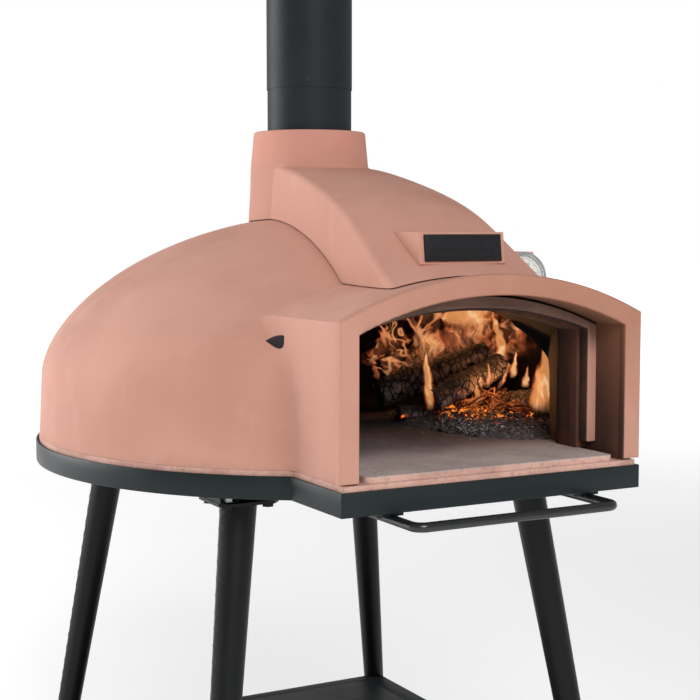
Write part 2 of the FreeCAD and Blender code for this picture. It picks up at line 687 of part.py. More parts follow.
def leg_plate(side_x, side_y):
    centre = leg_axis(side_x, side_y, -TRAY_DEPTH - BEARER_H - LEG_PLATE_T)
    half = LEG_PLATE_HALF
    plate = box(centre.x - half, centre.x + half, centre.y - half, centre.y + half, centre.z, centre.z + LEG_PLATE_T)
    corners = [e for e in plate.Edges if e.BoundBox.ZLength > LEG_PLATE_T - 0.5]
    plate = plate.makeChamfer(LEG_PLATE_CHAMFER, corners)
    holes = [rod(p - V(0, 0, 1), p + V(0, 0, LEG_PLATE_T + 1), LEG_BOLT_R + 0.5) for p in bolt_places(side_x, side_y)]
    return plate.cut(holes)


def hexagon(centre, across, z0, z1):
    points = [centre + V(cos(radians(60 * i)), sin(radians(60 * i)), 0) * (across / sqrt(3)) for i in range(7)]
    flat = [V(p.x, p.y, z0) for p in points]
    return Part.Face(Part.makePolygon(flat)).extrude(V(0, 0, z1 - z0))


def leg_bolts():
    bolts = []
    for side_x, side_y in CORNERS.values():
        for place in bolt_places(side_x, side_y):
            head = hexagon(place, 16.0, place.z - 6.4, place.z)
            shank = rod(place, place + V(0, 0, 18), LEG_BOLT_R)
            bolts.append(head.fuse(shank))
    return Part.makeCompound(bolts)


def bearer_nuts():
    nuts = []
    for side_x, side_y in CORNERS.values():
        for place in bolt_places(side_x, side_y):
            base_z = place.z + LEG_PLATE_T + BEARER_WALL
            body = hexagon(place, 16.0, base_z, base_z + 9)
            hole = rod(V(place.x, place.y, base_z - 1), V(place.x, place.y, base_z + 12), LEG_BOLT_R + 0.05)
            nuts.append(body.cut(hole))
    return Part.makeCompound(nuts)


def bearer(x):
    z0, z1 = -TRAY_DEPTH - BEARER_H, -TRAY_DEPTH
    y0, y1 = LEG_CENTRE_Y - BEARER_END_Y, LEG_CENTRE_Y + BEARER_END_Y
    half = BEARER_W / 2
    wall = BEARER_WALL
    body = box(x - half, x + half, y0, y1, z0, z1)
    body = body.cut(box(x - half + wall, x + half - wall, y0 - 1, y1 + 1, z0 + wall, z1 - wall))
    holes = []
    for side_x, side_y in CORNERS.values():
        for place in bolt_places(side_x, side_y):
            if abs(place.x - x) < 1:
                holes.append(rod(V(x, place.y, z0 - 1), V(x, place.y, z0 + wall + 1), LEG_BOLT_R + 0.5))
    return body.cut(holes)


def shelf():
    x, y = SHELF_HALF_X, SHELF_HALF_Y
    body = box(-x, x, LEG_CENTRE_Y - y, LEG_CENTRE_Y + y, SHELF_TOP - SHELF_T, SHELF_TOP)
    cuts = [leg_cone(side_x, side_y, 0.4) for side_x, side_y in CORNERS.values()]
    cuts += [rod(a - V(0, 0, 9), a + V(0, 0, 9), SHELF_SCREW_R + 0.1) for a in shelf_screw_places()]
    body = body.cut(cuts)
    return largest(body)


def inward(side_x, side_y):
    """Horizontal direction from a leg to the middle of the shelf, along the shelf's diagonal."""
    return V(-side_x, -side_y, 0) * (1 / sqrt(2))


def shelf_screw_places():
    places = []
    for side_x, side_y in CORNERS.values():
        axis = leg_axis(side_x, side_y, SHELF_TOP - SHELF_T)
        places.append(axis + inward(side_x, side_y) * SHELF_SCREW_REACH)
    return places


def shelf_tab(side_x, side_y):
    top = SHELF_TOP - SHELF_T
    half = SHELF_TAB_W / 2
    tab = box(5, SHELF_TAB_REACH, -half, half, top - SHELF_TAB_T, top)
    tab = tab.fuse(box(5, 5 + SHELF_TAB_T + 19, -half, half, top - 26, top))
    tab = tab.cut(box(5 + SHELF_TAB_T + 17, 90, -half - 1, half + 1, top - 30, top - SHELF_TAB_T))
    direction = inward(side_x, side_y)
    tab.rotate(V(0, 0, 0), V(0, 0, 1), degrees(atan2(direction.y, direction.x)))
    axis = leg_axis(side_x, side_y, top)
    tab.translate(V(axis.x, axis.y, 0))
    place = axis + direction * SHELF_SCREW_REACH
    tab = tab.cut([leg_cone(side_x, side_y, 0), rod(place - V(0, 0, 9), place + V(0, 0, 9), SHELF_SCREW_R + 0.1)])
    return largest(tab)


def shelf_screws():
    screws = []
    for place in shelf_screw_places():
        low = place - V(0, 0, SHELF_TAB_T)
        head = rod(low - V(0, 0, 2.8), low, 4.6)
        screws.append(head.fuse(rod(low, place + V(0, 0, SHELF_T), SHELF_SCREW_R)))
    return Part.makeCompound(screws)


def rail():
    x, bend = RAIL_HALF_W, RAIL_BEND
    front, back, z = RAIL_FRONT_Y, RAIL_BACK_Y, RAIL_Z
    corner = bend * (1 - 1 / sqrt(2))
    path = Part.Wire([
        Part.LineSegment(V(-x, back, z), V(-x, front + bend, z)).toShape(),
        Part.Arc(V(-x, front + bend, z), V(-x + corner, front + corner, z), V(-x + bend, front, z)).toShape(),
        Part.LineSegment(V(-x + bend, front, z), V(x - bend, front, z)).toShape(),
        Part.Arc(V(x - bend, front, z), V(x - corner, front + corner, z), V(x, front + bend, z)).toShape(),
        Part.LineSegment(V(x, front + bend, z), V(x, back, z)).toShape(),
    ])
    section = Part.Wire(Part.makeCircle(RAIL_R, V(-x, back, z), V(0, 1, 0)))
    return path.makePipeShell([section], True, True)


def rail_screw_places(side):
    x = side * RAIL_HALF_W
    return [V(x + i * 12.5, y, -TRAY_DEPTH) for i in (-1, 1) for y in (-545, -455)]


def rail_plate(side):
    x = side * RAIL_HALF_W
    half = RAIL_PLATE_W / 2
    plate = box(x - half, x + half, -560, -440, RAIL_Z + RAIL_R - 2, -TRAY_DEPTH)
    plate = plate.cut(rod(V(x, -600, RAIL_Z), V(x, -400, RAIL_Z), RAIL_R))
    return plate.cut([rod(p - V(0, 0, 9), p + V(0, 0, 9), RAIL_SCREW_R + 0.2) for p in rail_screw_places(side)])


def rail_screws():
    screws = []
    for side in (-1, 1):
        for place in rail_screw_places(side):
            low = V(place.x, place.y, RAIL_Z + RAIL_R - 2)
            screws.append(rod(low - V(0, 0, 3), low, 4.4).fuse(rod(low, place, RAIL_SCREW_R)))
    return Part.makeCompound(screws)


def ember_bed(logs):
    """A low mound of ash and embers, kept inside the cavity and under the logs."""
    ball = Part.makeSphere(1.0)
    scale = FreeCAD.Matrix()
    scale.scale(*EMBER_RADII)
    mound = ball.transformGeometry(scale)
    mound.rotate(V(0, 0, 0), V(0, 0, 1), EMBER_TURN)
    mound.translate(EMBER_CENTRE)
    room = dome(CAVITY_SKIN + 4, HEARTH_TOP)
    room = room.fuse(arch(THROAT_HALF_W - 2, THROAT_R - 2, HEARTH_TOP, -470, -100, DOOR_ARCH_CENTRE_Z))
    mound = mound.common(room).common(box(0, 400, -420, 300, HEARTH_TOP, 100))
    mound = mound.cut(logs)
    return largest(mound)


CORNERS = {
    "front_left": (-1, -1),
    "front_right": (1, -1),
    "rear_left": (-1, 1),
    "rear_right": (1, 1),
}


def main():
    save(tray_pan(), "tray_pan")
    save(insulation_board(), "insulation_board")
    save(floor_slab(), "floor_slab")
    save(outer_shell(), "outer_shell")
    save(insulation_blanket(), "insulation_blanket")
    save(inner_dome_half(-1), "inner_dome_left")
    save(inner_dome_half(1), "inner_dome_right")
    save(throat_arch(), "throat_arch")
    save(door_arch(), "door_arch")
    save(front_arch(), "front_arch")
    save(flue_hood(), "flue_hood")
    save(hood_seal(), "hood_seal")
    save(flue_gasket(), "flue_gasket")
    save(flue_stub(), "flue_stub")
    save(flue_pipe(), "flue_pipe")
    save(pipe_rivets(), "pipe_rivets")
    save(nameplate(), "nameplate")
    for node, shape in thermometer().items():
        save(shape, node)
    for corner, (side_x, side_y) in CORNERS.items():
        save(leg(side_x, side_y), "leg_" + corner)
        save(leg_plate(side_x, side_y), "leg_plate_" + corner)
        save(foot(side_x, side_y), "foot_" + corner)
        save(shelf_tab(side_x, side_y), "shelf_tab_" + corner)
    bearer_x = [side * (LEG_TOP_X + step) for side in (-1, 1) for step in (-LEG_BOLT_OFFSET, LEG_BOLT_OFFSET)]
    for node, x in zip(("left_inner", "left_outer", "right_inner", "right_outer"), bearer_x):
        save(bearer(x), "bearer_" + node)
    save(leg_bolts(), "leg_bolts")
    save(bearer_nuts(), "bearer_nuts")
    save(shelf(), "shelf")
    save(shelf_screws(), "shelf_screws")
    save(rail(), "rail")
    save(rail_plate(-1), "rail_plate_left")
    save(rail_plate(1), "rail_plate_right")
    save(rail_screws(), "rail_screws")
    logs = {node: rod(*ends) for node, ends in LOGS.items()}
    for node, shape in logs.items():
        save(shape, node)
    save(ember_bed(list(logs.values())), "ember_bed")


main()
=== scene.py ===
import json
from math import cos, hypot, pi, radians, sin
from random import Random

import bpy
from mathutils import Matrix, Vector


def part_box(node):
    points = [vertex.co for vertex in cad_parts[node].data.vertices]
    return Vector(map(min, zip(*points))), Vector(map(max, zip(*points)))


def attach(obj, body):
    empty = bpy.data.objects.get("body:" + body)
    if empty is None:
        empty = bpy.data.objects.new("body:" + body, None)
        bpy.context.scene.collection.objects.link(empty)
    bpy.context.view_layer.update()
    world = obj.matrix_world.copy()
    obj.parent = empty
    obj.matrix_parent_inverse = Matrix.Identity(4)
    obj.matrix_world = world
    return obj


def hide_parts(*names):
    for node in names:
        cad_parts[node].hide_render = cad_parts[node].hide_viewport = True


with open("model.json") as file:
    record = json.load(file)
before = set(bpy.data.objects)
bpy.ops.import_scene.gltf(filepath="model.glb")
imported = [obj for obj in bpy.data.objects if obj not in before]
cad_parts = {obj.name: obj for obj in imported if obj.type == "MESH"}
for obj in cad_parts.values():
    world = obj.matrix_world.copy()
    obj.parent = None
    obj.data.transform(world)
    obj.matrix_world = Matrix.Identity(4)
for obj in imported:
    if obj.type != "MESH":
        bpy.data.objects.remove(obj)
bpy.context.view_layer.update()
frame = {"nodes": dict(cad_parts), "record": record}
bpy.ops.object.select_all(action="DESELECT")

MM = 0.001
tray_low, tray_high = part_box("tray_pan")
DOME_Y = tray_high.y - tray_high.x
RIM_Z = tray_high.z
HEARTH_Z = RIM_Z + 17.25 * MM
ARCH_CENTRE_Z = RIM_Z - 285.7 * MM   # every arch is struck from this height
PLATE_LEAN = radians(6.7)
DIAL_LEAN = radians(15)
CHAR_BLOCK = 1.75                    # how much wider than long the char's blocks are


def at(x, y, z):
    """A point given in millimetres from the dome's axis, at the height of the tray rim."""
    return Vector((x * MM, DOME_Y + y * MM, RIM_Z + z * MM))


def paint(red, green, blue):
    """A paint-chip colour, 0 to 255, as the linear colour that the shaders take."""
    chips = [red / 255, green / 255, blue / 255]
    return tuple(c / 12.92 if c <= 0.04045 else ((c + 0.055) / 1.055) ** 2.4 for c in chips)


# ---------------------------------------------------------------- finishes

class Field:
    """A number that varies over a surface. Arithmetic on it adds the nodes that work it out."""

    def __init__(self, finish, socket):
        self.finish = finish
        self.socket = socket

    def __add__(self, other):
        return self.finish.maths("ADD", self, other)

    def __radd__(self, other):
        return self.finish.maths("ADD", other, self)

    def __sub__(self, other):
        return self.finish.maths("SUBTRACT", self, other)

    def __rsub__(self, other):
        return self.finish.maths("SUBTRACT", other, self)

    def __mul__(self, other):
        return self.finish.maths("MULTIPLY", self, other)

    def __truediv__(self, other):
        return self.finish.maths("DIVIDE", self, other)

    def __pow__(self, other):
        return self.finish.maths("POWER", self, other)

    def __abs__(self):
        return self.finish.maths("ABSOLUTE", self)

    def lower_of(self, other):
        return self.finish.maths("MINIMUM", self, other)

    def higher_of(self, other):
        return self.finish.maths("MAXIMUM", self, other)

    def root(self):
        return self.finish.maths("SQRT", self)

    def rise(self, low, high):
        """0 below `low`, 1 above `high`, and a soft step between them. It falls when low is above high."""
        node = {"From Min": min(low, high), "From Max": max(low, high)}
        ends = {"To Min": 0.0, "To Max": 1.0} if low < high else {"To Min": 1.0, "To Max": 0.0}
        return self.finish.node("ShaderNodeMapRange", {"interpolation_type": "SMOOTHSTEP"},
                                {"Value": self, **node, **ends})


class Finish:
    """A material in the making: its shader and the fields that feed it."""

    def __init__(self, name, roughness=0.5, metallic=0.0, **uniform):
        self.material = bpy.data.materials.new(name)
        self.material.use_nodes = True
        self.tree = self.material.node_tree
        self.shader = self.tree.nodes["Principled BSDF"]
        self.put("Roughness", roughness)
        self.put("Metallic", metallic)
        for words, value in uniform.items():
            self.put(words.replace("_", " "), value)
        self.place = self.node("ShaderNodeTexCoord", out="Object")

    def feed(self, socket, value):
        if isinstance(value, Field):
            self.tree.links.new(value.socket, socket)
        elif isinstance(value, tuple) and len(value) == 3 and socket.type == "RGBA":
            socket.default_value = (*value, 1.0)
        else:
            socket.default_value = value

    def node(self, kind, settings=None, sockets=None, out=0):
        """Any node: its type, its settings, and what goes into its sockets."""
        node = self.tree.nodes.new(kind)
        for name, value in (settings or {}).items():
            setattr(node, name, value)
        for name, value in (sockets or {}).items():
            self.feed(node.inputs[name], value)
        return Field(self, node.outputs[out])

    def maths(self, operation, *values):
        node = self.tree.nodes.new("ShaderNodeMath")
        node.operation = operation
        for socket, value in zip(node.inputs, values):
            self.feed(socket, value)
        return Field(self, node.outputs[0])

    def mix(self, first, second, share):
        """A colour between two others."""
        node = self.tree.nodes.new("ShaderNodeMix")
        node.data_type = "RGBA"
        self.feed(node.inputs[0], share)
        self.feed(node.inputs[6], first)
        self.feed(node.inputs[7], second)
        return Field(self, node.outputs[2])

    def tint(self, colour, share):
        """A colour made darker or lighter all over by a field."""
        return self.node("ShaderNodeVectorMath", {"operation": "SCALE"}, {0: colour, "Scale": share})

    def part(self, name):
        """One of the X, Y and Z places of a point, in metres."""
        return self.node("ShaderNodeSeparateXYZ", None, {"Vector": self.place}, out=name)

    def stretched(self, x, y, z):
        return self.node("ShaderNodeVectorMath", {"operation": "MULTIPLY"}, {0: self.place, 1: (x, y, z)})

    def noise(self, scale, detail=4.0, roughness=0.55, where=None, distortion=0.0):
        sockets = {"Vector": where or self.place, "Scale": scale, "Detail": detail,
                   "Roughness": roughness, "Distortion": distortion}
        return self.node("ShaderNodeTexNoise", None, sockets, out="Fac")

    def cells(self, scale, feature="F1", where=None, out="Distance", randomness=1.0):
        sockets = {"Vector": where or self.place, "Scale": scale, "Randomness": randomness}
        return self.node("ShaderNodeTexVoronoi", {"feature": feature}, sockets, out=out)

    def bump(self, height, depth, strength=1.0, under=None):
        sockets = {"Height": height, "Distance": depth, "Strength": strength}
        if under is not None:
            sockets["Normal"] = under
        return self.node("ShaderNodeBump", None, sockets)

    def put(self, name, value):
        self.feed(self.shader.inputs[name], value)

    def done(self):
        return self.material


def fired_clay(name, colour, smoke, grain=1.0):
    """Matt fired clay: a fine sandy skin, faint clouding and pinholes."""
    clay = Finish(name, roughness=0.86)
    cloud = clay.noise(5.0, 3.0, 0.5)
    patch = clay.noise(17.0, 4.0, 0.6, clay.stretched(1, 1, 0.55))
    sand = clay.noise(900.0, 3.0, 0.7)
    trowel = clay.noise(26.0, 3.0, 0.5, clay.stretched(1, 1, 1.6), 0.6)
    deep = tuple(c * k for c, k in zip(colour, (0.88, 0.84, 0.82)))
    pale = tuple(min(1.0, c * k) for c, k in zip(colour, (1.08, 1.10, 1.12)))
    tone = clay.mix(deep, colour, cloud.rise(0.28, 0.62))
    tone = clay.mix(tone, pale, patch.rise(0.48, 0.80) * 0.55)
    fleck = clay.cells(420.0).rise(0.16, 0.05) * clay.noise(60.0, 2.0).rise(0.45, 0.65)
    tone = clay.mix(tone, deep, fleck * 0.55)
    pits = clay.cells(150.0, "F1").rise(0.02, 0.085)
    pit_share = clay.noise(23.0, 2.0).rise(0.52, 0.64)
    pit = (1.0 - pits) * pit_share
    # Pinholes painted darker: painted shade in the pits.
    tone = clay.mix(tone, tuple(c * 0.55 for c in colour), pit * 0.5)
    # Darker in clouds towards the foot, where the shell meets the tray.
    foot_darkening = clay.part("Z").rise(RIM_Z + 0.030, RIM_Z + 0.004) * clay.noise(40.0, 3.0).rise(0.3, 0.7)
    tone = clay.mix(tone, deep, foot_darkening * 0.8)
    clay.put("Base Color", smoke(clay, tone))
    clay.put("Roughness", 0.80 + sand * 0.14 - patch.rise(0.5, 0.8) * 0.05)
    skin = clay.bump(sand, 0.00032 * grain, 0.8)
    skin = clay.bump(trowel, 0.0011, 0.55, skin)
    skin = clay.bump(1.0 - pit, 0.0006, 0.7, skin)
    clay.put("Normal", skin)
    return clay.done()


def smoked_and_shaded_porch(clay, tone):
    """Inside the porch the clay is browned by smoke, with painted shade making it darkest low down and next
    to the door arch.
    """
    x = clay.part("X")
    y = clay.part("Y")
    z = clay.part("Z")
    blotch = clay.noise(10.0, 4.0, 0.6)
    up = z - ARCH_CENTRE_Z
    reach = (x * x + up * up).root()
    inside = abs(x).rise(0.2300, 0.2285) * reach.rise(0.5515, 0.5500)
    inside = inside * y.rise(DOME_Y - 0.300, DOME_Y - 0.420)
    # Painted shade: darker low down and deeper in, next to the door arch.
    low = z.rise(RIM_Z + 0.230, RIM_Z + 0.040)
    back = y.rise(DOME_Y - 0.556, DOME_Y - 0.500)
    darkness = (low * 0.75 + back * 0.45) * (0.6 + blotch * 0.7)
    brown = clay.mix(paint(132, 86, 62), paint(66, 38, 28), darkness)
    return clay.mix(tone, brown, inside)


def smoked_and_shaded_frame(clay, tone):
    """Smoke from the mouth browns the frame towards its crown and, with painted shade, towards its
    right-hand side; its reveal is smoke brown with painted shade darker low down.
    """
    x = clay.part("X")
    z = clay.part("Z")
    blotch = clay.noise(9.0, 4.0, 0.6)
    crown = z.rise(RIM_Z + 0.120, RIM_Z + 0.300)
    # Towards the right-hand side the browning is partly smoke and partly painted shade.
    side = x.rise(-0.20, 0.26)
    share = (crown * (0.30 + side * 0.70) + side * 0.15) * (0.35 + blotch * 0.9)
    tone = clay.mix(tone, paint(138, 88, 62), share.lower_of(0.55) * 0.8)
    up = z - ARCH_CENTRE_Z
    reach = (x * x + up * up).root()
    # The reveal behind the front face: smoke brown, with painted shade making it darker low down.
    behind = clay.part("Y").rise(DOME_Y - 0.5690, DOME_Y - 0.5670)
    reveal = abs(x).rise(0.2292, 0.2280) * reach.rise(0.5502, 0.5488) * behind
    low = z.rise(RIM_Z + 0.230, RIM_Z + 0.040)
    return clay.mix(tone, clay.mix(paint(132, 86, 62), paint(74, 44, 32), low), reveal)


def lit_and_shaded_hood(clay, tone):
    """Painted light and shade: a paler face below the plate, painted lighter in clouds, and a darker,
    rosier top by the collar, painted shade.
    """
    y = clay.part("Y")
    z = clay.part("Z")
    blotch = clay.noise(7.0, 3.0, 0.55)
    # Painted light: the front face below the plate, paler in clouds.
    pale = y.rise(DOME_Y - 0.440, DOME_Y - 0.520) * blotch.rise(0.25, 0.7)
    tone = clay.mix(tone, paint(205, 154, 138), pale * 0.55)
    # Painted shade: the top, by the collar, darker and rosier.
    shaded_top = z.rise(RIM_Z + 0.430, RIM_Z + 0.500)
    return clay.mix(tone, paint(188, 128, 112), shaded_top * 0.55)


def soot_and_shade_inside(clay, tone):
    """Soot over the inside of the oven, thickest up in the crown; behind the throat it is near-black,
    partly soot and partly painted shade, darkest away from the mouth.
    """
    y = clay.part("Y")
    z = clay.part("Z")
    blotch = clay.noise(11.0, 5.0, 0.62)
    deep = y.rise(DOME_Y - 0.445, DOME_Y - 0.425)
    high = z.rise(RIM_Z + 0.02, RIM_Z + 0.22)
    run = clay.noise(60.0, 4.0, 0.6, clay.stretched(1.0, 1.0, 0.12)).rise(0.35, 0.65)
    darkness = blotch.rise(0.36, 0.62) * 0.6 + run * 0.5 + high * 0.3
    tone = clay.mix(tone, clay.mix(paint(84, 46, 28), paint(38, 22, 17), darkness.lower_of(1.0)), 0.92)
    # Behind the throat: near-black, partly soot and partly painted shade, darker further in and up in the
    # crown.
    back = y.rise(DOME_Y - 0.350, DOME_Y - 0.150)
    thickness = blotch * 0.5 + back * 0.5 + high * 0.3
    return clay.mix(tone, clay.mix(paint(30, 21, 19), paint(17, 14, 14), thickness.lower_of(1.0)), deep)


def soot_throat(clay, tone):
    y = clay.part("Y")
    z = clay.part("Z")
    blotch = clay.noise(14.0, 5.0, 0.6)
    deep = y.rise(DOME_Y - 0.5010, DOME_Y - 0.4985)
    high = z.rise(RIM_Z + 0.150, RIM_Z + 0.235)
    share = (0.08 + deep * 0.62 + high * 0.80) * (0.6 + blotch * 0.7)
    tone = clay.mix(tone, paint(82, 64, 54), share.lower_of(1.0))
    rust = clay.mix(paint(78, 42, 26), paint(34, 19, 15), blotch.rise(0.35, 0.65))
    return clay.mix(tone, rust, deep * 0.88)


def hearth_stone():
    """Cast floor: mottled pink-grey at the front edge, ash-grey on top, and dark under the fire."""
    stone = Finish("hearth_stone", roughness=0.9)
    y = stone.part("Y")
    x = stone.part("X")
    z = stone.part("Z")
    cloud = stone.noise(13.0, 5.0, 0.62)
    grit = stone.noise(240.0, 4.0, 0.7)
    aggregate = stone.cells(190.0, "F1", out="Color")
    light = stone.node("ShaderNodeSeparateColor", None, {"Color": aggregate}, out="Red")
    pink = stone.mix(paint(196, 156, 142), paint(172, 132, 119), cloud.rise(0.35, 0.65))
    grey = stone.mix(paint(176, 160, 154), paint(156, 142, 140), cloud.rise(0.3, 0.68))
    top = z.rise(RIM_Z + 0.0150, RIM_Z + 0.0168)
    tone = stone.mix(pink, grey, top)
    tone = stone.mix(tone, paint(206, 172, 160), light.rise(0.72, 0.95) * grit.rise(0.45, 0.7) * 0.35)
    tone = stone.mix(tone, paint(104, 80, 74), light.rise(0.30, 0.08) * grit.rise(0.6, 0.4) * 0.30)
    drift = stone.noise(6.0, 5.0, 0.65, None, 0.5)
    back = (y + drift * 0.10 - 0.05).rise(DOME_Y - 0.475, DOME_Y - 0.330)
    tone = stone.mix(tone, paint(92, 80, 86), back * top)
    fire = (y + drift * 0.08).rise(DOME_Y - 0.36, DOME_Y - 0.22) * (x + drift * 0.1).rise(-0.02, 0.12) * top
    tone = stone.mix(tone, paint(36, 30, 33), fire * 0.8)
    ash = stone.noise(70.0, 4.0, 0.7).rise(0.56, 0.74) * back * top
    tone = stone.mix(tone, paint(150, 142, 140), ash * 0.5)
    scuff = stone.noise(30.0, 5.0, 0.7, stone.stretched(3.0, 0.6, 1.0), 0.8).rise(0.60, 0.72) * top
    tone = stone.mix(tone, paint(178, 158, 148), scuff * 0.35)
    stone.put("Base Color", tone)
    stone.put("Roughness", 0.82 + grit * 0.15)
    skin = stone.bump(grit, 0.0007, 0.9)
    skin = stone.bump(stone.cells(190.0), 0.0006, 0.6, skin)
    skin = stone.bump(cloud, 0.002, 0.4, skin)
    stone.put("Normal", skin)
    return stone.done()


def powder_coat(name, colour, roughness=0.42, wear=0.25, orange_peel=1.0, shine=0.22):
    """Baked powder coat: fine orange peel, faint dusty clouds and specks, and slightly polished patches."""
    coat = Finish(name, roughness=roughness, Specular_IOR_Level=shine)
    haze = coat.noise(8.0, 4.0, 0.6)
    peel = coat.noise(900.0, 2.0, 0.5)
    speck = coat.cells(700.0).rise(0.12, 0.04)
    pale = tuple(min(1.0, c * 1.55 + 0.006) for c in colour)
    dark = tuple(c * 0.80 for c in colour)
    tone = coat.mix(dark, colour, haze.rise(0.30, 0.60))
    tone = coat.mix(tone, pale, haze.rise(0.55, 0.85) * wear + speck * 0.18)
    scratch = coat.noise(60.0, 3.0, 0.6, coat.stretched(0.4, 5.0, 5.0), 0.2).rise(0.74, 0.80)
    tone = coat.mix(tone, tuple(c * 2.2 + 0.01 for c in colour), scratch * wear * 0.6)
    coat.put("Base Color", tone)
    coat.put("Roughness", roughness - 0.06 + peel * 0.10 + haze.rise(0.4, 0.8) * 0.10)
    skin = coat.bump(peel, 0.00018 * orange_peel, 0.7)
    coat.put("Normal", skin)
    return coat.done()


def plated_metal(name, colour, roughness, brushed=0.0, metallic=1.0):
    metal = Finish(name, roughness=roughness, metallic=metallic)
    cloud = metal.noise(45.0, 4.0, 0.6)
    grain = metal.noise(160.0, 3.0, 0.6, metal.stretched(0.25, 6.0, 6.0))
    tone = metal.mix(tuple(c * 0.82 for c in colour), colour, cloud.rise(0.3, 0.65))
    metal.put("Base Color", tone)
    metal.put("Roughness", roughness + cloud * 0.08 + grain * brushed)
    metal.put("Normal", metal.bump(grain, 0.0001, 0.2 + brushed))
    return metal.done()


def moulded(name, colour, roughness, texture=0.0002):
    body = Finish(name, roughness=roughness)
    cloud = body.noise(30.0, 3.0, 0.5)
    pebble = body.noise(700.0, 2.0, 0.5)
    tone = body.mix(tuple(c * 0.85 for c in colour), colour, cloud.rise(0.3, 0.7))
    body.put("Base Color", tone)
    body.put("Roughness", roughness - 0.04 + pebble * 0.08)
    body.put("Normal", body.bump(pebble, texture, 0.6))
    return body.done()


def mineral_wool():
    wool = Finish("mineral_wool", roughness=0.95)
    fibre = wool.noise(90.0, 6.0, 0.75, wool.stretched(1.0, 1.0, 4.0), 1.5)
    tone = wool.mix(paint(196, 186, 168), paint(236, 230, 216), fibre.rise(0.35, 0.65))
    wool.put("Base Color", tone)
    wool.put("Roughness", 0.88 + fibre * 0.1)
    wool.put("Normal", wool.bump(fibre, 0.003, 0.8))
    return wool.done()


def clear_glass():
    glass = Finish("dial_glass_clear", roughness=0.04, IOR=1.45)
    smear = glass.noise(60.0, 3.0, 0.6)
    glass.put("Base Color", glass.mix(paint(236, 242, 244), paint(248, 250, 250), smear))
    glass.put("Roughness", 0.03 + smear * 0.05)
    glass.put("Alpha", 0.10 + smear * 0.05)
    glass.material.surface_render_method = "BLENDED"
    return glass.done()


def charred_wood():
    """Char cracked into blocks across the grain: grey ash on them, painted lighter on faces towards the
    front and darker on their tops, dark gaps, and fibres along the log.
    """
    char = Finish("charred_wood_burning", roughness=0.9, Emission_Strength=1.5)
    z = char.part("Z")
    local = char.node("ShaderNodeAttribute", {"attribute_name": "grain"}, out="Vector")
    waver = char.node("ShaderNodeTexNoise", None, {"Vector": local, "Scale": 40.0}, out="Color")
    waver = char.node("ShaderNodeVectorMath", {"operation": "SCALE"}, {0: waver, "Scale": 0.012})
    bent = char.node("ShaderNodeVectorMath", {"operation": "ADD"}, {0: local, 1: waver})
    bent = char.node("ShaderNodeVectorMath", {"operation": "MULTIPLY"}, {0: bent, 1: (0.8, 0.8, 1.7)})
    block = char.cells(52.0, "DISTANCE_TO_EDGE", bent, randomness=0.75)
    own = char.cells(52.0, "F1", bent, "Color", 0.75)
    shade = char.node("ShaderNodeSeparateColor", None, {"Color": own}, out="Red")
    crack = block.rise(0.11, 0.02)
    along = char.node("ShaderNodeVectorMath", {"operation": "MULTIPLY"}, {0: local, 1: (1.0, 1.0, 0.10)})
    fibre = char.noise(330.0, 5.0, 0.7, along, 0.4)
    cloud = char.noise(24.0, 5.0, 0.65)
    up = char.node("ShaderNodeNewGeometry", out="Normal")
    facing_up = char.node("ShaderNodeSeparateXYZ", None, {"Vector": up}, out="Z").rise(-0.10, 0.75)
    front = char.node("ShaderNodeSeparateXYZ", None, {"Vector": up}, out="Y").rise(0.20, -0.70)
    # Painted light and shade: the ash is lighter on faces that face the front and darker on faces that face
    # up.
    ash = (0.35 + cloud.rise(0.34, 0.60) * 0.65) * (0.15 + front * 0.95) * (1.0 - facing_up * 0.80)
    ash = ash * (0.35 + fibre.rise(0.36, 0.62) * 0.65) * (0.45 + shade * 0.75)
    tone = char.mix(paint(17, 14, 15), paint(60, 50, 47), fibre.rise(0.42, 0.68))
    tone = char.mix(tone, paint(170, 158, 164), (ash * 0.95).lower_of(0.95))
    tone = char.mix(tone, paint(9, 7, 7), crack)
    char.put("Base Color", tone)
    char.put("Roughness", 0.70 + ash * 0.25)
    low = z.rise(RIM_Z + 0.058, RIM_Z + 0.024)
    glow_place = char.noise(30.0, 4.0, 0.6).rise(0.52, 0.68)
    glow = (crack * 0.8 + low * 0.30) * low.higher_of(0.05) * glow_place
    ember = char.mix(paint(150, 16, 2), paint(255, 120, 28), glow.rise(0.25, 0.9))
    char.put("Emission Color", char.tint(ember, glow.rise(0.06, 0.8)))
    skin = char.bump(block.rise(0.0, 0.12), 0.004, 0.9)
    skin = char.bump(fibre, 0.0022, 1.0, skin)
    char.put("Normal", skin)
    return char.done()


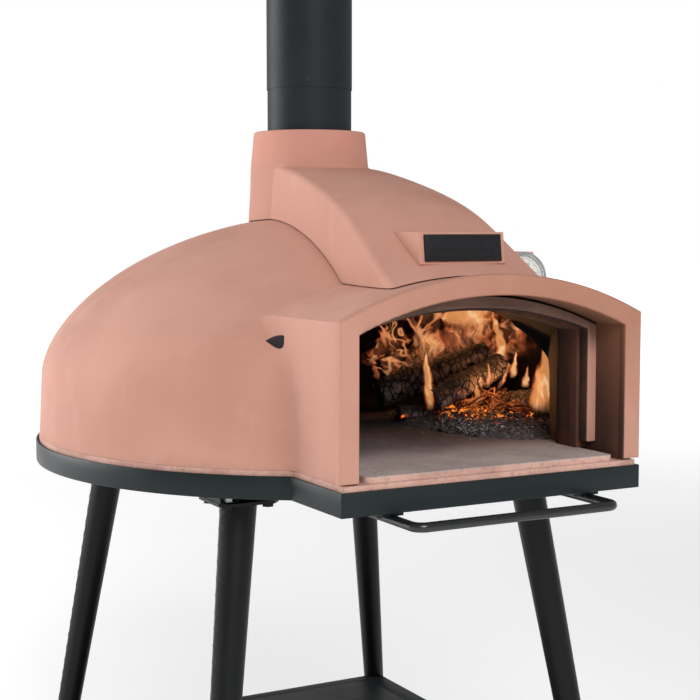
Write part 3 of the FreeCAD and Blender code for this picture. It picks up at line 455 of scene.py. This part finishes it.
def ash_and_embers():
    """The bed under the fire: black fines, grey ash and orange embers among them."""
    bed = Finish("ash_and_embers", roughness=0.95, Emission_Strength=2.0)
    x = bed.part("X")
    y = bed.part("Y")
    fines = bed.noise(160.0, 6.0, 0.75)
    lumps = bed.cells(95.0)
    cloud = bed.noise(20.0, 5.0, 0.65)
    tone = bed.mix(paint(28, 24, 24), paint(88, 82, 80), fines.rise(0.38, 0.66))
    tone = bed.mix(tone, paint(170, 164, 166), (fines.rise(0.52, 0.70) * cloud.rise(0.40, 0.60)) * 0.9)
    low_corner, high_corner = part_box("ember_bed")
    centre = (low_corner + high_corner) / 2
    half = (high_corner - low_corner) / 2
    reach = (((x - centre.x) / half.x) ** 2.0 + ((y - centre.y) / half.y) ** 2.0).root()
    rim = bed.mix(paint(66, 56, 58), paint(120, 112, 114), fines.rise(0.45, 0.70))
    tone = bed.mix(tone, rim, reach.rise(0.72, 0.95))
    bed.put("Base Color", tone)
    heart = bed.cells(70.0).rise(0.42, 0.12) * bed.noise(34.0, 4.0, 0.6).rise(0.50, 0.62)
    middle = (((x - 0.235) * 9.0) ** 2.0 + ((y - DOME_Y + 0.150) * 6.0) ** 2.0).rise(1.0, 0.15)
    glow = heart * middle
    ember = bed.mix(paint(170, 22, 4), paint(255, 140, 40), glow.rise(0.3, 0.95))
    bed.put("Emission Color", bed.tint(ember, glow.rise(0.08, 0.7)))
    skin = bed.bump(fines, 0.003, 0.9)
    skin = bed.bump(lumps, 0.003, 0.6, skin)
    bed.put("Normal", skin)
    return bed.done()


def glowing_coal():
    coal = Finish("glowing_coal", roughness=0.95, Emission_Strength=1.5)
    crust = coal.cells(130.0, "DISTANCE_TO_EDGE")
    cloud = coal.noise(38.0, 4.0, 0.65)
    fines = coal.noise(220.0, 4.0, 0.7)
    tone = coal.mix(paint(30, 24, 22), paint(150, 142, 138), fines.rise(0.48, 0.66) * 0.8)
    coal.put("Base Color", tone)
    glow = crust.rise(0.22, 0.0) * cloud.rise(0.42, 0.60)
    coal.put("Emission Color", coal.tint(coal.mix(paint(180, 24, 4), paint(255, 150, 50), glow), glow))
    coal.put("Normal", coal.bump(fines + crust, 0.002, 0.8))
    return coal.done()


def flake_ash():
    flake = Finish("flake_ash", roughness=1.0)
    fines = flake.noise(260.0, 4.0, 0.7)
    own = flake.cells(170.0, "F1", out="Color")
    which = flake.node("ShaderNodeSeparateColor", None, {"Color": own}, out="Red")
    tone = flake.mix(paint(58, 52, 56), paint(150, 144, 150), which.rise(0.25, 0.80))
    tone = flake.mix(tone, paint(222, 218, 220), fines.rise(0.50, 0.66) * which.rise(0.50, 0.95))
    flake.put("Base Color", tone)
    flake.put("Normal", flake.bump(fines, 0.001, 0.6))
    return flake.done()


def flame_finish(name, colours, body, cover, foot):
    """Fire as a thin glowing sheet: ragged and clear at its edges, with paler threads running up it."""
    edge_colour, body_colour, heart_colour = colours
    fire = Finish(name, roughness=1.0, Emission_Strength=1.0, Specular_IOR_Level=0.0)
    uv = fire.node("ShaderNodeUVMap", {"uv_map": "UVMap"})
    across = fire.node("ShaderNodeSeparateXYZ", None, {"Vector": uv}, out="X")
    along = fire.node("ShaderNodeSeparateXYZ", None, {"Vector": uv}, out="Y")
    lick = fire.noise(13.0, 2.0, 0.5, fire.stretched(1.0, 1.0, 0.5), 0.8) - 0.5
    tear = fire.noise(46.0, 3.0, 0.5, fire.stretched(1.0, 1.0, 0.36), 1.2) - 0.5
    half = ((1.0 - along) ** 0.66) * (along.rise(-0.20, 0.30) * 0.65 + 0.35)
    off = abs(across - 0.5 + lick * (0.20 + along * 0.70) + tear * 0.26) * 2.0
    inside = (1.0 - off / half.higher_of(0.02)).higher_of(0.0)
    streak = fire.noise(12.0, 2.0, 0.45, fire.stretched(1.0, 1.0, 0.46), 2.4)
    thread = (1.0 - abs(streak - 0.5) * 15.0).higher_of(0.0) ** 0.8
    veil = fire.noise(10.0, 2.5, 0.5, fire.stretched(1.0, 1.0, 0.52), 1.8).rise(0.46, 0.70)
    share = inside.rise(0.0, 0.60) * (body + veil * cover + thread * (0.9 - body))
    heart = inside.rise(0.30, 1.0) * (0.20 + thread * 0.65 + veil * 0.35) * (1.0 - along * 0.35)
    tone = fire.mix(edge_colour, body_colour, inside.rise(0.04, 0.55))
    tone = fire.mix(tone, heart_colour, heart.lower_of(1.0))
    fire.put("Base Color", (0.0, 0.0, 0.0))
    fire.put("Emission Color", tone)
    fire.put("Alpha", (share * along.rise(0.0, foot) * along.rise(1.0, 0.86)).lower_of(0.96))
    fire.material.surface_render_method = "BLENDED"
    return fire.done()


clay_colour = paint(188, 139, 122)
finishes = {
    "terracotta_shell": fired_clay("clay_dome", clay_colour, smoked_and_shaded_porch),
    "terracotta_hood": fired_clay("clay_hood", paint(187, 137, 120), lit_and_shaded_hood),
    "terracotta_frame": fired_clay("clay_frame", paint(184, 136, 118), smoked_and_shaded_frame, grain=1.3),
    "terracotta_inner": fired_clay("clay_door_arch", paint(190, 140, 122), soot_throat, grain=1.4),
    "refractory_soot": fired_clay("clay_sooted", paint(168, 104, 80), soot_and_shade_inside, grain=1.8),
    "floor_refractory": hearth_stone(),
    "insulation": mineral_wool(),
    "black_steel": powder_coat("coat_black", paint(24, 32, 34), 0.42),
    "black_steel_plain": powder_coat("coat_black_plain", paint(22, 25, 27), 0.48, 0.15),
    "fastener_black": plated_metal("black_oxide", paint(48, 50, 52), 0.42, 0.05, 0.9),
    "zinc_steel": plated_metal("zinc", paint(178, 180, 182), 0.34, 0.08),
    "foot_rubber": moulded("rubber_foot", paint(30, 30, 30), 0.8),
    "seal_dark": moulded("mortar_dark", paint(92, 58, 46), 0.95, 0.0006),
    "flue_black": powder_coat("stove_enamel", paint(33, 36, 40), 0.50, 0.25, 0.7, 0.12),
    "nameplate_black": powder_coat("plate_black", paint(27, 26, 29), 0.40, 0.2),
    "thermometer_steel": plated_metal("steel_brushed", paint(190, 190, 188), 0.30, 0.12),
    "thermometer_chrome": plated_metal("chrome", paint(226, 228, 230), 0.10),
    "dial_white": moulded("dial_enamel", paint(238, 236, 230), 0.45, 0.00005),
    "dial_glass": clear_glass(),
    "needle_red": moulded("needle_enamel", paint(26, 26, 28), 0.5, 0.00005),
    "charred_wood": charred_wood(),
    "ember_ash": ash_and_embers(),
}
leg_coat = powder_coat("coat_black_legs", paint(10, 12, 13), 0.40, 0.12)
rail_coat = powder_coat("coat_black_rail", paint(20, 23, 25), 0.27, 0.15, 0.5, 0.6)


def finish_of(node, slot):
    if node.startswith("leg_"):
        return leg_coat
    return rail_coat if node == "rail" else finishes[slot]


for piece in frame["record"]["subparts"]:
    node = frame["nodes"][piece["node"]]
    node.data.materials.clear()
    node.data.materials.append(finish_of(piece["node"], piece["material_slot"]))


# ---------------------------------------------------------------- working tools

def pick(piece, kind, wanted):
    """In edit mode, selects just the faces, edges or vertices that `wanted` says yes to."""
    bpy.ops.object.mode_set(mode="EDIT")
    bpy.ops.mesh.select_mode(type=kind)
    bpy.ops.mesh.select_all(action="DESELECT")
    bpy.ops.object.mode_set(mode="OBJECT")
    mesh = piece.data
    if kind == "FACE":
        for face in mesh.polygons:
            face.select = wanted(face)
    elif kind == "EDGE":
        for edge in mesh.edges:
            edge.select = wanted(*(mesh.vertices[v].co for v in edge.vertices))
    else:
        for vertex in mesh.vertices:
            vertex.select = wanted(vertex.co)
    bpy.ops.object.mode_set(mode="EDIT")


def only(piece):
    bpy.ops.object.select_all(action="DESELECT")
    piece.select_set(True)
    bpy.context.view_layer.objects.active = piece


def modify(piece, kind, **settings):
    """Adds a modifier and applies it."""
    only(piece)
    modifier = piece.modifiers.new(kind.lower(), kind)
    for name, value in settings.items():
        setattr(modifier, name, value)
    bpy.ops.object.modifier_apply(modifier=modifier.name)


def roughen(piece, size, depth, kind="CLOUDS", direction="NORMAL", middle=0.5, **settings):
    """Pushes a surface in and out by a clouded pattern."""
    pattern = bpy.data.textures.new(piece.name + "_pattern", kind)
    pattern.noise_scale = size
    for name, value in settings.items():
        setattr(pattern, name, value)
    modify(piece, "DISPLACE", texture=pattern, strength=depth, direction=direction, mid_level=middle,
           texture_coords="LOCAL")


def settle(piece, matrix):
    """Moves a piece's own mesh, so that its object stays at the origin, unturned."""
    piece.data.transform(matrix)


def join(name, pieces):
    bpy.ops.object.select_all(action="DESELECT")
    for piece in pieces:
        piece.select_set(True)
    bpy.context.view_layer.objects.active = pieces[0]
    bpy.ops.object.join()
    whole = bpy.context.object
    whole.name = name
    whole.data.name = name
    return whole


def finish_piece(piece, name, material, body="oven", smooth=35, stands_for=()):
    only(piece)
    bpy.ops.object.transform_apply(location=True, rotation=True, scale=True)
    piece.name = name
    piece.data.name = name
    piece.data.materials.clear()
    piece.data.materials.append(material)
    if smooth:
        bpy.ops.object.shade_smooth_by_angle(angle=radians(smooth))
    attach(piece, body)
    if stands_for:
        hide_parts(*stands_for)
    return piece


def copies_of(model, name, spots):
    """Copies of one model, each with its own mesh, joined into one piece."""
    copies = []
    for place, turn, size in spots:
        copy = bpy.data.objects.new(name, model.data.copy())
        copy.data.transform(Matrix.LocRotScale(Vector(place), turn, Vector(size)))
        bpy.context.collection.objects.link(copy)
        copies.append(copy)
    bpy.data.objects.remove(model)
    return join(name, copies)


def eased(node, slot, ease, segments=2, body="oven"):
    """A CAD piece with its sharp corners eased, as handled clay and folded sheet have."""
    source = frame["nodes"][node]
    piece = bpy.data.objects.new(node + "_eased", source.data.copy())
    bpy.context.collection.objects.link(piece)
    only(piece)
    bpy.ops.object.mode_set(mode="EDIT")
    bpy.ops.mesh.select_all(action="SELECT")
    bpy.ops.mesh.remove_doubles(threshold=0.00002)
    bpy.ops.mesh.dissolve_limited(angle_limit=radians(0.4))
    bpy.ops.object.mode_set(mode="OBJECT")
    if piece.data.has_custom_normals:
        bpy.ops.mesh.customdata_custom_splitnormals_clear()
    modify(piece, "BEVEL", width=ease, segments=segments, limit_method="ANGLE", angle_limit=radians(40),
           use_clamp_overlap=True)
    return finish_piece(piece, node + "_eased", finishes[slot], body, 40, (node,))


def front_of(node, outward):
    """The middle of a CAD piece's front, looking back along `outward`."""
    low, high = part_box(node)
    middle = (low + high) / 2
    reach = max(vertex.co.dot(outward) for vertex in frame["nodes"][node].data.vertices)
    return middle + outward * (reach - middle.dot(outward))


# ---------------------------------------------------------------- fire

def log_piece(node, start, end, radius, seed, flat=0.86):
    """A split log burnt to char, with a roughened, cracked end. Its blocks are shorter than they are wide.
    """
    axis = end - start
    length = axis.length
    bpy.ops.mesh.primitive_cylinder_add(vertices=80, radius=radius, depth=length, end_fill_type="NGON",
                                        location=(0, 0, 0))
    log = bpy.context.object
    pick(log, "EDGE", lambda a, b: abs(a.z - b.z) > length * 0.9)
    bpy.ops.mesh.subdivide(number_cuts=min(90, int(length / 0.0026)))
    for share in (0.07, 0.10, 0.16, 0.20, 0.22):
        pick(log, "FACE", lambda face: abs(face.normal.z) > 0.9 and len(face.vertices) > 4)
        bpy.ops.mesh.inset(thickness=radius * share)
    pick(log, "FACE", lambda face: len(face.vertices) > 4)
    bpy.ops.mesh.poke()
    bpy.ops.object.mode_set(mode="OBJECT")
    apart = Vector((seed * 0.31, seed * 0.17, seed * 0.71))
    settle(log, Matrix.Translation(apart) @ Matrix.Diagonal((1.0, flat, CHAR_BLOCK, 1.0)))
    roughen(log, 0.050, radius * 0.42)
    roughen(log, 0.021, radius * 0.26, "VORONOI", weight_1=-1.0, weight_2=1.0, middle=0.3)
    roughen(log, 0.005, radius * 0.08)
    settle(log, Matrix.Diagonal((1.0, 1.0, 1 / CHAR_BLOCK, 1.0)) @ Matrix.Translation(-apart))
    grain = log.data.attributes.new("grain", "FLOAT_VECTOR", "POINT")
    for vertex in log.data.vertices:
        grain.data[vertex.index].vector = vertex.co
    turn = axis.to_track_quat("Z", "Y").to_matrix().to_4x4()
    settle(log, Matrix.Translation((start + end) / 2) @ turn @ Matrix.Rotation(seed * 1.7, 4, "Z"))
    return finish_piece(log, node + "_charred", finishes["charred_wood"], "oven", 50, (node,))


def firewood():
    log_piece("log_left", at(95, -52, 64), at(305, -82, 128), 27 * MM, 1)
    log_piece("log_front", at(146, -152, 60), at(298, -142, 114), 25 * MM, 2)
    log_piece("log_back", at(160, 48, 84), at(335, 8, 142), 33 * MM, 3)
    log_piece("log_small", at(110, -98, 36), at(186, -106, 36), 15 * MM, 4, 0.7)
    log_piece("log_right", at(312, -246, 60), at(280, -118, 48), 20 * MM, 5, 0.95)


def ember_bed():
    """The bed of ash, heaped in the middle and broken up into crumbs."""
    low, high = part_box("ember_bed")
    middle = (low + high) / 2
    half = (high - low) / 2
    bpy.ops.mesh.primitive_grid_add(x_subdivisions=150, y_subdivisions=230, size=2, location=(0, 0, 0))
    bed = bpy.context.object
    settle(bed, Matrix.Diagonal((half.x, half.y, 1, 1)))
    settle(bed, Matrix.Translation((middle.x, middle.y, 0)))
    for vertex in bed.data.vertices:
        reach = hypot((vertex.co.x - middle.x) / half.x, (vertex.co.y - middle.y) / half.y)
        vertex.co.z = HEARTH_Z - 0.003 + 0.024 * max(0.0, 1 - reach ** 2) ** 0.9
    pick(bed, "VERT", lambda co: hypot((co.x - middle.x) / half.x, (co.y - middle.y) / half.y) > 0.97)
    bpy.ops.mesh.delete(type="VERT")
    bpy.ops.object.mode_set(mode="OBJECT")
    roughen(bed, 0.030, 0.012, direction="Z")
    roughen(bed, 0.009, 0.007, "VORONOI", direction="Z")
    roughen(bed, 0.004, 0.003, direction="Z")
    finish_piece(bed, "ember_bed_crumbled", finishes["ember_ash"], "oven", 60, ("ember_bed",))


def crumb(name, levels, seed, squash=1.0):
    bpy.ops.mesh.primitive_ico_sphere_add(subdivisions=levels, radius=1, location=(0, 0, 0))
    model = bpy.context.object
    settle(model, Matrix.Translation((seed, 0, 0)))
    roughen(model, 0.9, 0.9)
    settle(model, Matrix.Translation((-seed, 0, 0)))
    settle(model, Matrix.Diagonal((1, 1, squash, 1)))
    return model


def any_turn(chance, low=-0.7, high=0.7):
    """A turn round the upright after a tilt between `low` and `high`."""
    round_about = Matrix.Rotation(chance.uniform(0, 2 * pi), 3, "Z")
    return (round_about @ Matrix.Rotation(chance.uniform(low, high), 3, "X")).to_quaternion()


def coals():
    chance = Random(11)
    coal = glowing_coal()
    spots = []
    for _ in range(150):
        angle, reach = chance.uniform(0, 2 * pi), chance.random() ** 0.6
        x, y = 232 + 92 * reach * cos(angle), -165 + 105 * reach * sin(angle)
        place = at(x, y, chance.uniform(30, 44) - 6 * reach)
        size = chance.uniform(3.5, 9.0) * MM
        spots.append((place, any_turn(chance), (size, size * 0.8, size * 0.7)))
    heap = copies_of(crumb("coal", 2, 3.0), "coals", spots)
    finish_piece(heap, "coals", coal, "oven", 0)

    bpy.ops.mesh.primitive_cylinder_add(vertices=6, radius=1, depth=2, location=(0, 0, 0))
    splinter = bpy.context.object
    pick(splinter, "EDGE", lambda a, b: abs(a.z - b.z) > 1.5)
    bpy.ops.mesh.subdivide(number_cuts=5)
    bpy.ops.object.mode_set(mode="OBJECT")
    roughen(splinter, 0.8, 0.8)
    spots = []
    for _ in range(110):
        place = at(chance.uniform(185, 318), chance.uniform(-232, -128), chance.uniform(34, 74))
        turn = any_turn(chance, 0.9, 1.6)
        wide = chance.uniform(0.7, 1.8) * MM
        spots.append((place, turn, (wide, wide, chance.uniform(10, 24) * MM)))
    sticks = copies_of(splinter, "splinters", spots)
    finish_piece(sticks, "splinters_burning", burning_splinter(), "oven", 0)


def ash_flakes():
    chance = Random(23)
    spots = []
    for _ in range(1900):
        share = chance.random()
        x = 128 + 206 * share + chance.uniform(-18, 18)
        y = -176 - 128 * chance.random() ** 0.8 - 26 * share
        size = chance.uniform(0.9, 2.6) * MM * (1.5 if chance.random() < 0.12 else 1.0)
        place = at(x, y, 20 + chance.uniform(0, 17) * (1 - abs(y + 220) / 200))
        spots.append((place, any_turn(chance), (size, size * 0.7, size * 0.55)))
    flakes = copies_of(crumb("flake", 1, 5.0), "flakes", spots)
    finish_piece(flakes, "ash_flakes", flake_ash(), "oven", 0)


def burning_splinter():
    stick = Finish("burning_splinter", roughness=0.9, Emission_Strength=0.8)
    heat = stick.noise(34.0, 4.0, 0.6)
    fines = stick.noise(300.0, 3.0, 0.6)
    stick.put("Base Color", stick.mix(paint(52, 30, 22), paint(120, 84, 66), fines))
    glow = heat.rise(0.38, 0.66) * (0.35 + fines * 0.8)
    stick.put("Emission Color", stick.tint(stick.mix(paint(150, 34, 8), paint(248, 134, 52), glow), glow))
    stick.put("Normal", stick.bump(fines, 0.001, 0.7))
    return stick.done()


def flame(name, foot, tip, width, finish, seed, sway=1.0, spin=0.0):
    """One tongue of fire: a thin upright sheet that sways as it climbs."""
    rise = tip - foot
    height = rise.length
    bpy.ops.mesh.primitive_grid_add(x_subdivisions=14, y_subdivisions=44, size=1, location=(0, 0, 0))
    sheet = bpy.context.object
    settle(sheet, Matrix.Rotation(radians(90), 4, "X") @ Matrix.Translation((0, 0.5, 0)))
    settle(sheet, Matrix.Diagonal((width, 1, height, 1)))
    settle(sheet, Matrix.Translation((seed * 0.37, seed * 0.13, seed * 0.29)))
    roughen(sheet, height * 0.42, width * 0.55 * sway, direction="Y")
    roughen(sheet, height * 0.30, width * 0.50 * sway, direction="X")
    settle(sheet, Matrix.Translation((-seed * 0.37, -seed * 0.13, -seed * 0.29)))
    along = Matrix.Identity(4)
    along[0][2] = rise.x / height
    along[1][2] = rise.y / height
    settle(sheet, Matrix.Translation(foot) @ along @ Matrix.Rotation(radians(-28 + spin), 4, "Z"))
    return finish_piece(sheet, name, finish, "oven", 60)


def fire():
    bright = (paint(196, 84, 34), paint(240, 148, 80), paint(255, 224, 170))
    dull = (paint(96, 38, 20), paint(192, 96, 56), paint(248, 176, 116))
    tongue = flame_finish("flame_tongue", bright, 0.66, 0.25, 0.22)
    sheet = flame_finish("flame_sheet", dull, 0.10, 0.66, 0.40)
    wisp = flame_finish("flame_wisp", dull, 0.0, 0.16, 0.35)
    flame("flame_right_tall", at(300, -266, 40), at(316, -262, 202), 62 * MM, tongue, 1, 0.8)
    flame("flame_right_low", at(288, -266, 44), at(306, -260, 128), 40 * MM, tongue, 9, 0.8)
    flame("flame_left", at(137, -158, 42), at(137, -150, 150), 26 * MM, tongue, 2, 0.5)
    flame("flame_middle_thin", at(312, -130, 90), at(292, -118, 210), 34 * MM, tongue, 3, 1.4)
    flame("flame_crown_top", at(262, -90, 176), at(266, -80, 268), 130 * MM, tongue, 5, 1.1)
    flame("flame_crown_middle", at(268, -70, 130), at(278, -62, 258), 110 * MM, sheet, 21, 1.1)
    flame("flame_crown_right", at(334, -100, 110), at(352, -90, 240), 110 * MM, sheet, 6, 1.1)
    flame("flame_crown_far", at(306, -30, 110), at(314, -20, 258), 150 * MM, sheet, 7, 1.2)
    flame("flame_crown_left", at(190, -60, 110), at(205, -40, 240), 110 * MM, wisp, 4, 1.2)
    flame("flame_crown_left_far", at(214, -20, 110), at(200, 0, 232), 120 * MM, wisp, 15, 1.3)
    flame("flame_left_high", at(140, -50, 96), at(122, -40, 216), 96 * MM, wisp, 8, 1.5)
    flame("flame_left_licks", at(110, -20, 80), at(150, -10, 190), 110 * MM, wisp, 16, 1.5)
    flame("flame_far_left", at(72, -62, 116), at(112, -60, 168), 34 * MM, sheet, 10, 1.3)
    flame("flame_low_a", at(247, -176, 78), at(250, -170, 124), 14 * MM, sheet, 11)
    flame("flame_low_b", at(214, -196, 56), at(212, -190, 90), 18 * MM, tongue, 12)
    flame("flame_low_c", at(306, -200, 78), at(308, -200, 118), 18 * MM, tongue, 13)
    flame("flame_low_d", at(300, -172, 92), at(306, -170, 142), 16 * MM, tongue, 14)
    flame("flame_low_e", at(322, -220, 70), at(318, -214, 112), 16 * MM, tongue, 17)
    flame("flame_over_log", at(262, -176, 70), at(300, -170, 104), 16 * MM, sheet, 18, 1.6)


# ---------------------------------------------------------------- small metalwork

def plate_motif():
    """A band of lozenges between two lines, raised on the nameplate."""
    outward = Vector((0, -cos(PLATE_LEAN), sin(PLATE_LEAN)))
    up = Vector((0, sin(PLATE_LEAN), cos(PLATE_LEAN)))
    face = front_of("nameplate", outward)
    turn = Matrix((Vector((1, 0, 0)), up, -outward)).transposed().to_quaternion()
    bpy.ops.mesh.primitive_cube_add(size=2, location=(0, 0, 0))
    bar = bpy.context.object
    modify(bar, "BEVEL", width=0.25, segments=2)
    spots = []
    for index in range(-8, 9):
        middle = face + Vector((1, 0, 0)) * (index * 6.6 * MM)
        half = 1.6 * MM if index % 2 else 4.4 * MM
        on_edge = turn @ Matrix.Rotation(radians(45), 3, "Z").to_quaternion()
        spots.append((middle, on_edge, (half, half, 0.7 * MM)))
    for side in (-1, 1):
        spots.append((face + up * (side * 14.5 * MM), turn, (60 * MM, 0.5 * MM, 0.5 * MM)))
    motif = copies_of(bar, "motif", spots)
    finish_piece(motif, "nameplate_motif", finishes["nameplate_black"])


def dial_marks():
    """The dial's scale: fine and long ticks, and plain numbers."""
    outward = Vector((0, -cos(DIAL_LEAN), sin(DIAL_LEAN)))
    up = Vector((0, sin(DIAL_LEAN), cos(DIAL_LEAN)))
    right = Vector((1, 0, 0))
    face = front_of("thermometer_dial", outward)
    upright = Matrix((right, up, -outward)).transposed()
    ink = moulded("dial_ink", paint(40, 40, 44), 0.5, 0.00005)
    bpy.ops.mesh.primitive_cube_add(size=2, location=(0, 0, 0))
    tick = bpy.context.object
    modify(tick, "BEVEL", width=0.2, segments=1)
    spots = []
    for index in range(51):
        angle = radians(-135 + 270 * index / 50)
        long = index % 5 == 0
        half = (2.4 if long else 1.3) * MM
        reach = 29.5 * MM - half
        place = face + (right * sin(angle) + up * cos(angle)) * reach
        turn = (upright @ Matrix.Rotation(angle, 3, "Z")).to_quaternion()
        spots.append((place, turn, ((0.42 if long else 0.22) * MM, half, 0.12 * MM)))
    ticks = copies_of(tick, "ticks", spots)
    numbers = []
    for index in range(6):
        angle = radians(-135 + 54 * index)
        place = face + (right * sin(angle) + up * cos(angle)) * (19.5 * MM) + outward * 0.05 * MM
        bpy.ops.object.text_add(location=(0, 0, 0))
        number = bpy.context.object
        number.data.body = str(index * 100)
        number.data.size = 6.2 * MM
        number.data.extrude = 0.06 * MM
        number.data.align_x = "CENTER"
        number.data.align_y = "CENTER"
        number.data.resolution_u = 3
        only(number)
        bpy.ops.object.convert(target="MESH")
        number = bpy.context.object
        facing = Matrix((right, up, outward)).transposed().to_4x4()
        settle(number, Matrix.Translation(place) @ facing)
        numbers.append(number)
    marks = join("marks", [ticks] + numbers)
    finish_piece(marks, "dial_marks", ink, "oven", 0)


def weld_beads():
    """A rippled weld bead round the top of each leg."""
    bead_metal = finishes["black_steel"]
    for corner in ("front_left", "front_right", "rear_left", "rear_right"):
        low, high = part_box("leg_plate_" + corner)
        middle = (low + high) / 2
        bpy.ops.mesh.primitive_torus_add(major_segments=160, minor_segments=10, major_radius=29.6 * MM,
                                         minor_radius=2.2 * MM, location=(0, 0, 0))
        bead = bpy.context.object
        roughen(bead, 0.004, 0.0012)
        settle(bead, Matrix.Translation((middle.x, middle.y, low.z - 0.4 * MM)))
        finish_piece(bead, "weld_" + corner, bead_metal)


eased("tray_pan", "black_steel", 1.3 * MM)
eased("front_arch", "terracotta_frame", 1.2 * MM)
eased("door_arch", "terracotta_inner", 2.2 * MM)
eased("throat_arch", "refractory_soot", 2.0 * MM)
eased("floor_slab", "floor_refractory", 1.8 * MM)
eased("shelf", "black_steel_plain", 0.9 * MM)
eased("nameplate", "nameplate_black", 0.7 * MM)
plate_motif()
dial_marks()
weld_beads()
firewood()
ember_bed()
coals()
ash_flakes()
fire()


# ---------------------------------------------------------------- stage

def camera():
    data = bpy.data.cameras.new("camera")
    data.lens = 74.68
    data.sensor_width = 36
    view = bpy.data.objects.new("camera", data)
    view.location = (-1.17199, -2.20713, 1.1593)
    view.rotation_euler = (radians(90 - 4.84), 0, radians(-28.52))
    bpy.context.collection.objects.link(view)
    bpy.context.scene.camera = view


def backdrop():
    """A pale floor with nothing on it."""
    bpy.ops.mesh.primitive_plane_add(size=60)
    floor = bpy.context.object
    floor.name = "studio_floor"
    paper = Finish("studio_paper", roughness=0.95, Emission_Strength=1.0)
    x = paper.part("X")
    y = paper.part("Y")
    far = (x * x + y * y).root().rise(1.2, 9.0)
    paper.put("Emission Color", paper.tint((1.0, 1.0, 1.0), 0.17 + far * 0.66))
    cloud = paper.noise(2.0, 3.0)
    paper.put("Base Color", paper.mix(paint(240, 240, 240), paint(244, 244, 244), cloud))
    floor.data.materials.append(paper.done())


def lamp(name, place, aim, energy, width, height, colour=(1, 1, 1)):
    data = bpy.data.lights.new(name, "AREA")
    data.shape = "RECTANGLE"
    data.energy = energy
    data.size = width
    data.size_y = height
    data.color = colour
    light = bpy.data.objects.new(name, data)
    light.location = place
    light.rotation_euler = (Vector(aim) - Vector(place)).to_track_quat("-Z", "Y").to_euler()
    light.visible_camera = False
    bpy.context.collection.objects.link(light)


def fire_light(name, place, energy, size):
    data = bpy.data.lights.new(name, "POINT")
    data.energy = energy
    data.shadow_soft_size = size
    data.color = (1.0, 0.42, 0.14)
    light = bpy.data.objects.new(name, data)
    light.location = place
    bpy.context.collection.objects.link(light)


def studio():
    """Soft light from behind on the left and from the front, under a white sky dimmer than it looks."""
    bpy.context.scene.view_settings.view_transform = "Standard"
    lamp("soft_left", (-3.2, 3.0, 2.0), (0, 0, 1.0), 185, 2.4, 2.2)
    lamp("soft_front", (-0.8, -4.4, 3.5), (0, 0, 1.0), 160, 2.4, 1.8)
    fire_light("fire_glow_front", at(250, -190, 110), 0.40, 0.03)
    fire_light("fire_glow_back", at(230, -20, 190), 0.55, 0.06)
    world = bpy.data.worlds.new("studio")
    bpy.context.scene.world = world
    world.use_nodes = True
    tree = world.node_tree
    background = tree.nodes["Background"]
    background.inputs["Color"].default_value = (1.0, 1.0, 1.0, 1.0)
    sky = tree.nodes.new("ShaderNodeTexCoord")
    height = tree.nodes.new("ShaderNodeSeparateXYZ")
    tree.links.new(sky.outputs["Generated"], height.inputs[0])
    dusk = tree.nodes.new("ShaderNodeMapRange")
    dusk.inputs["To Min"].default_value = 0.50
    dusk.inputs["To Max"].default_value = 0.34
    tree.links.new(height.outputs["Z"], dusk.inputs["Value"])
    seen = tree.nodes.new("ShaderNodeLightPath")
    level = tree.nodes.new("ShaderNodeMapRange")
    level.inputs["To Max"].default_value = 1.0
    tree.links.new(seen.outputs["Is Camera Ray"], level.inputs["Value"])
    tree.links.new(dusk.outputs["Result"], level.inputs["To Min"])
    tree.links.new(level.outputs["Result"], background.inputs["Strength"])


camera()
backdrop()
studio()
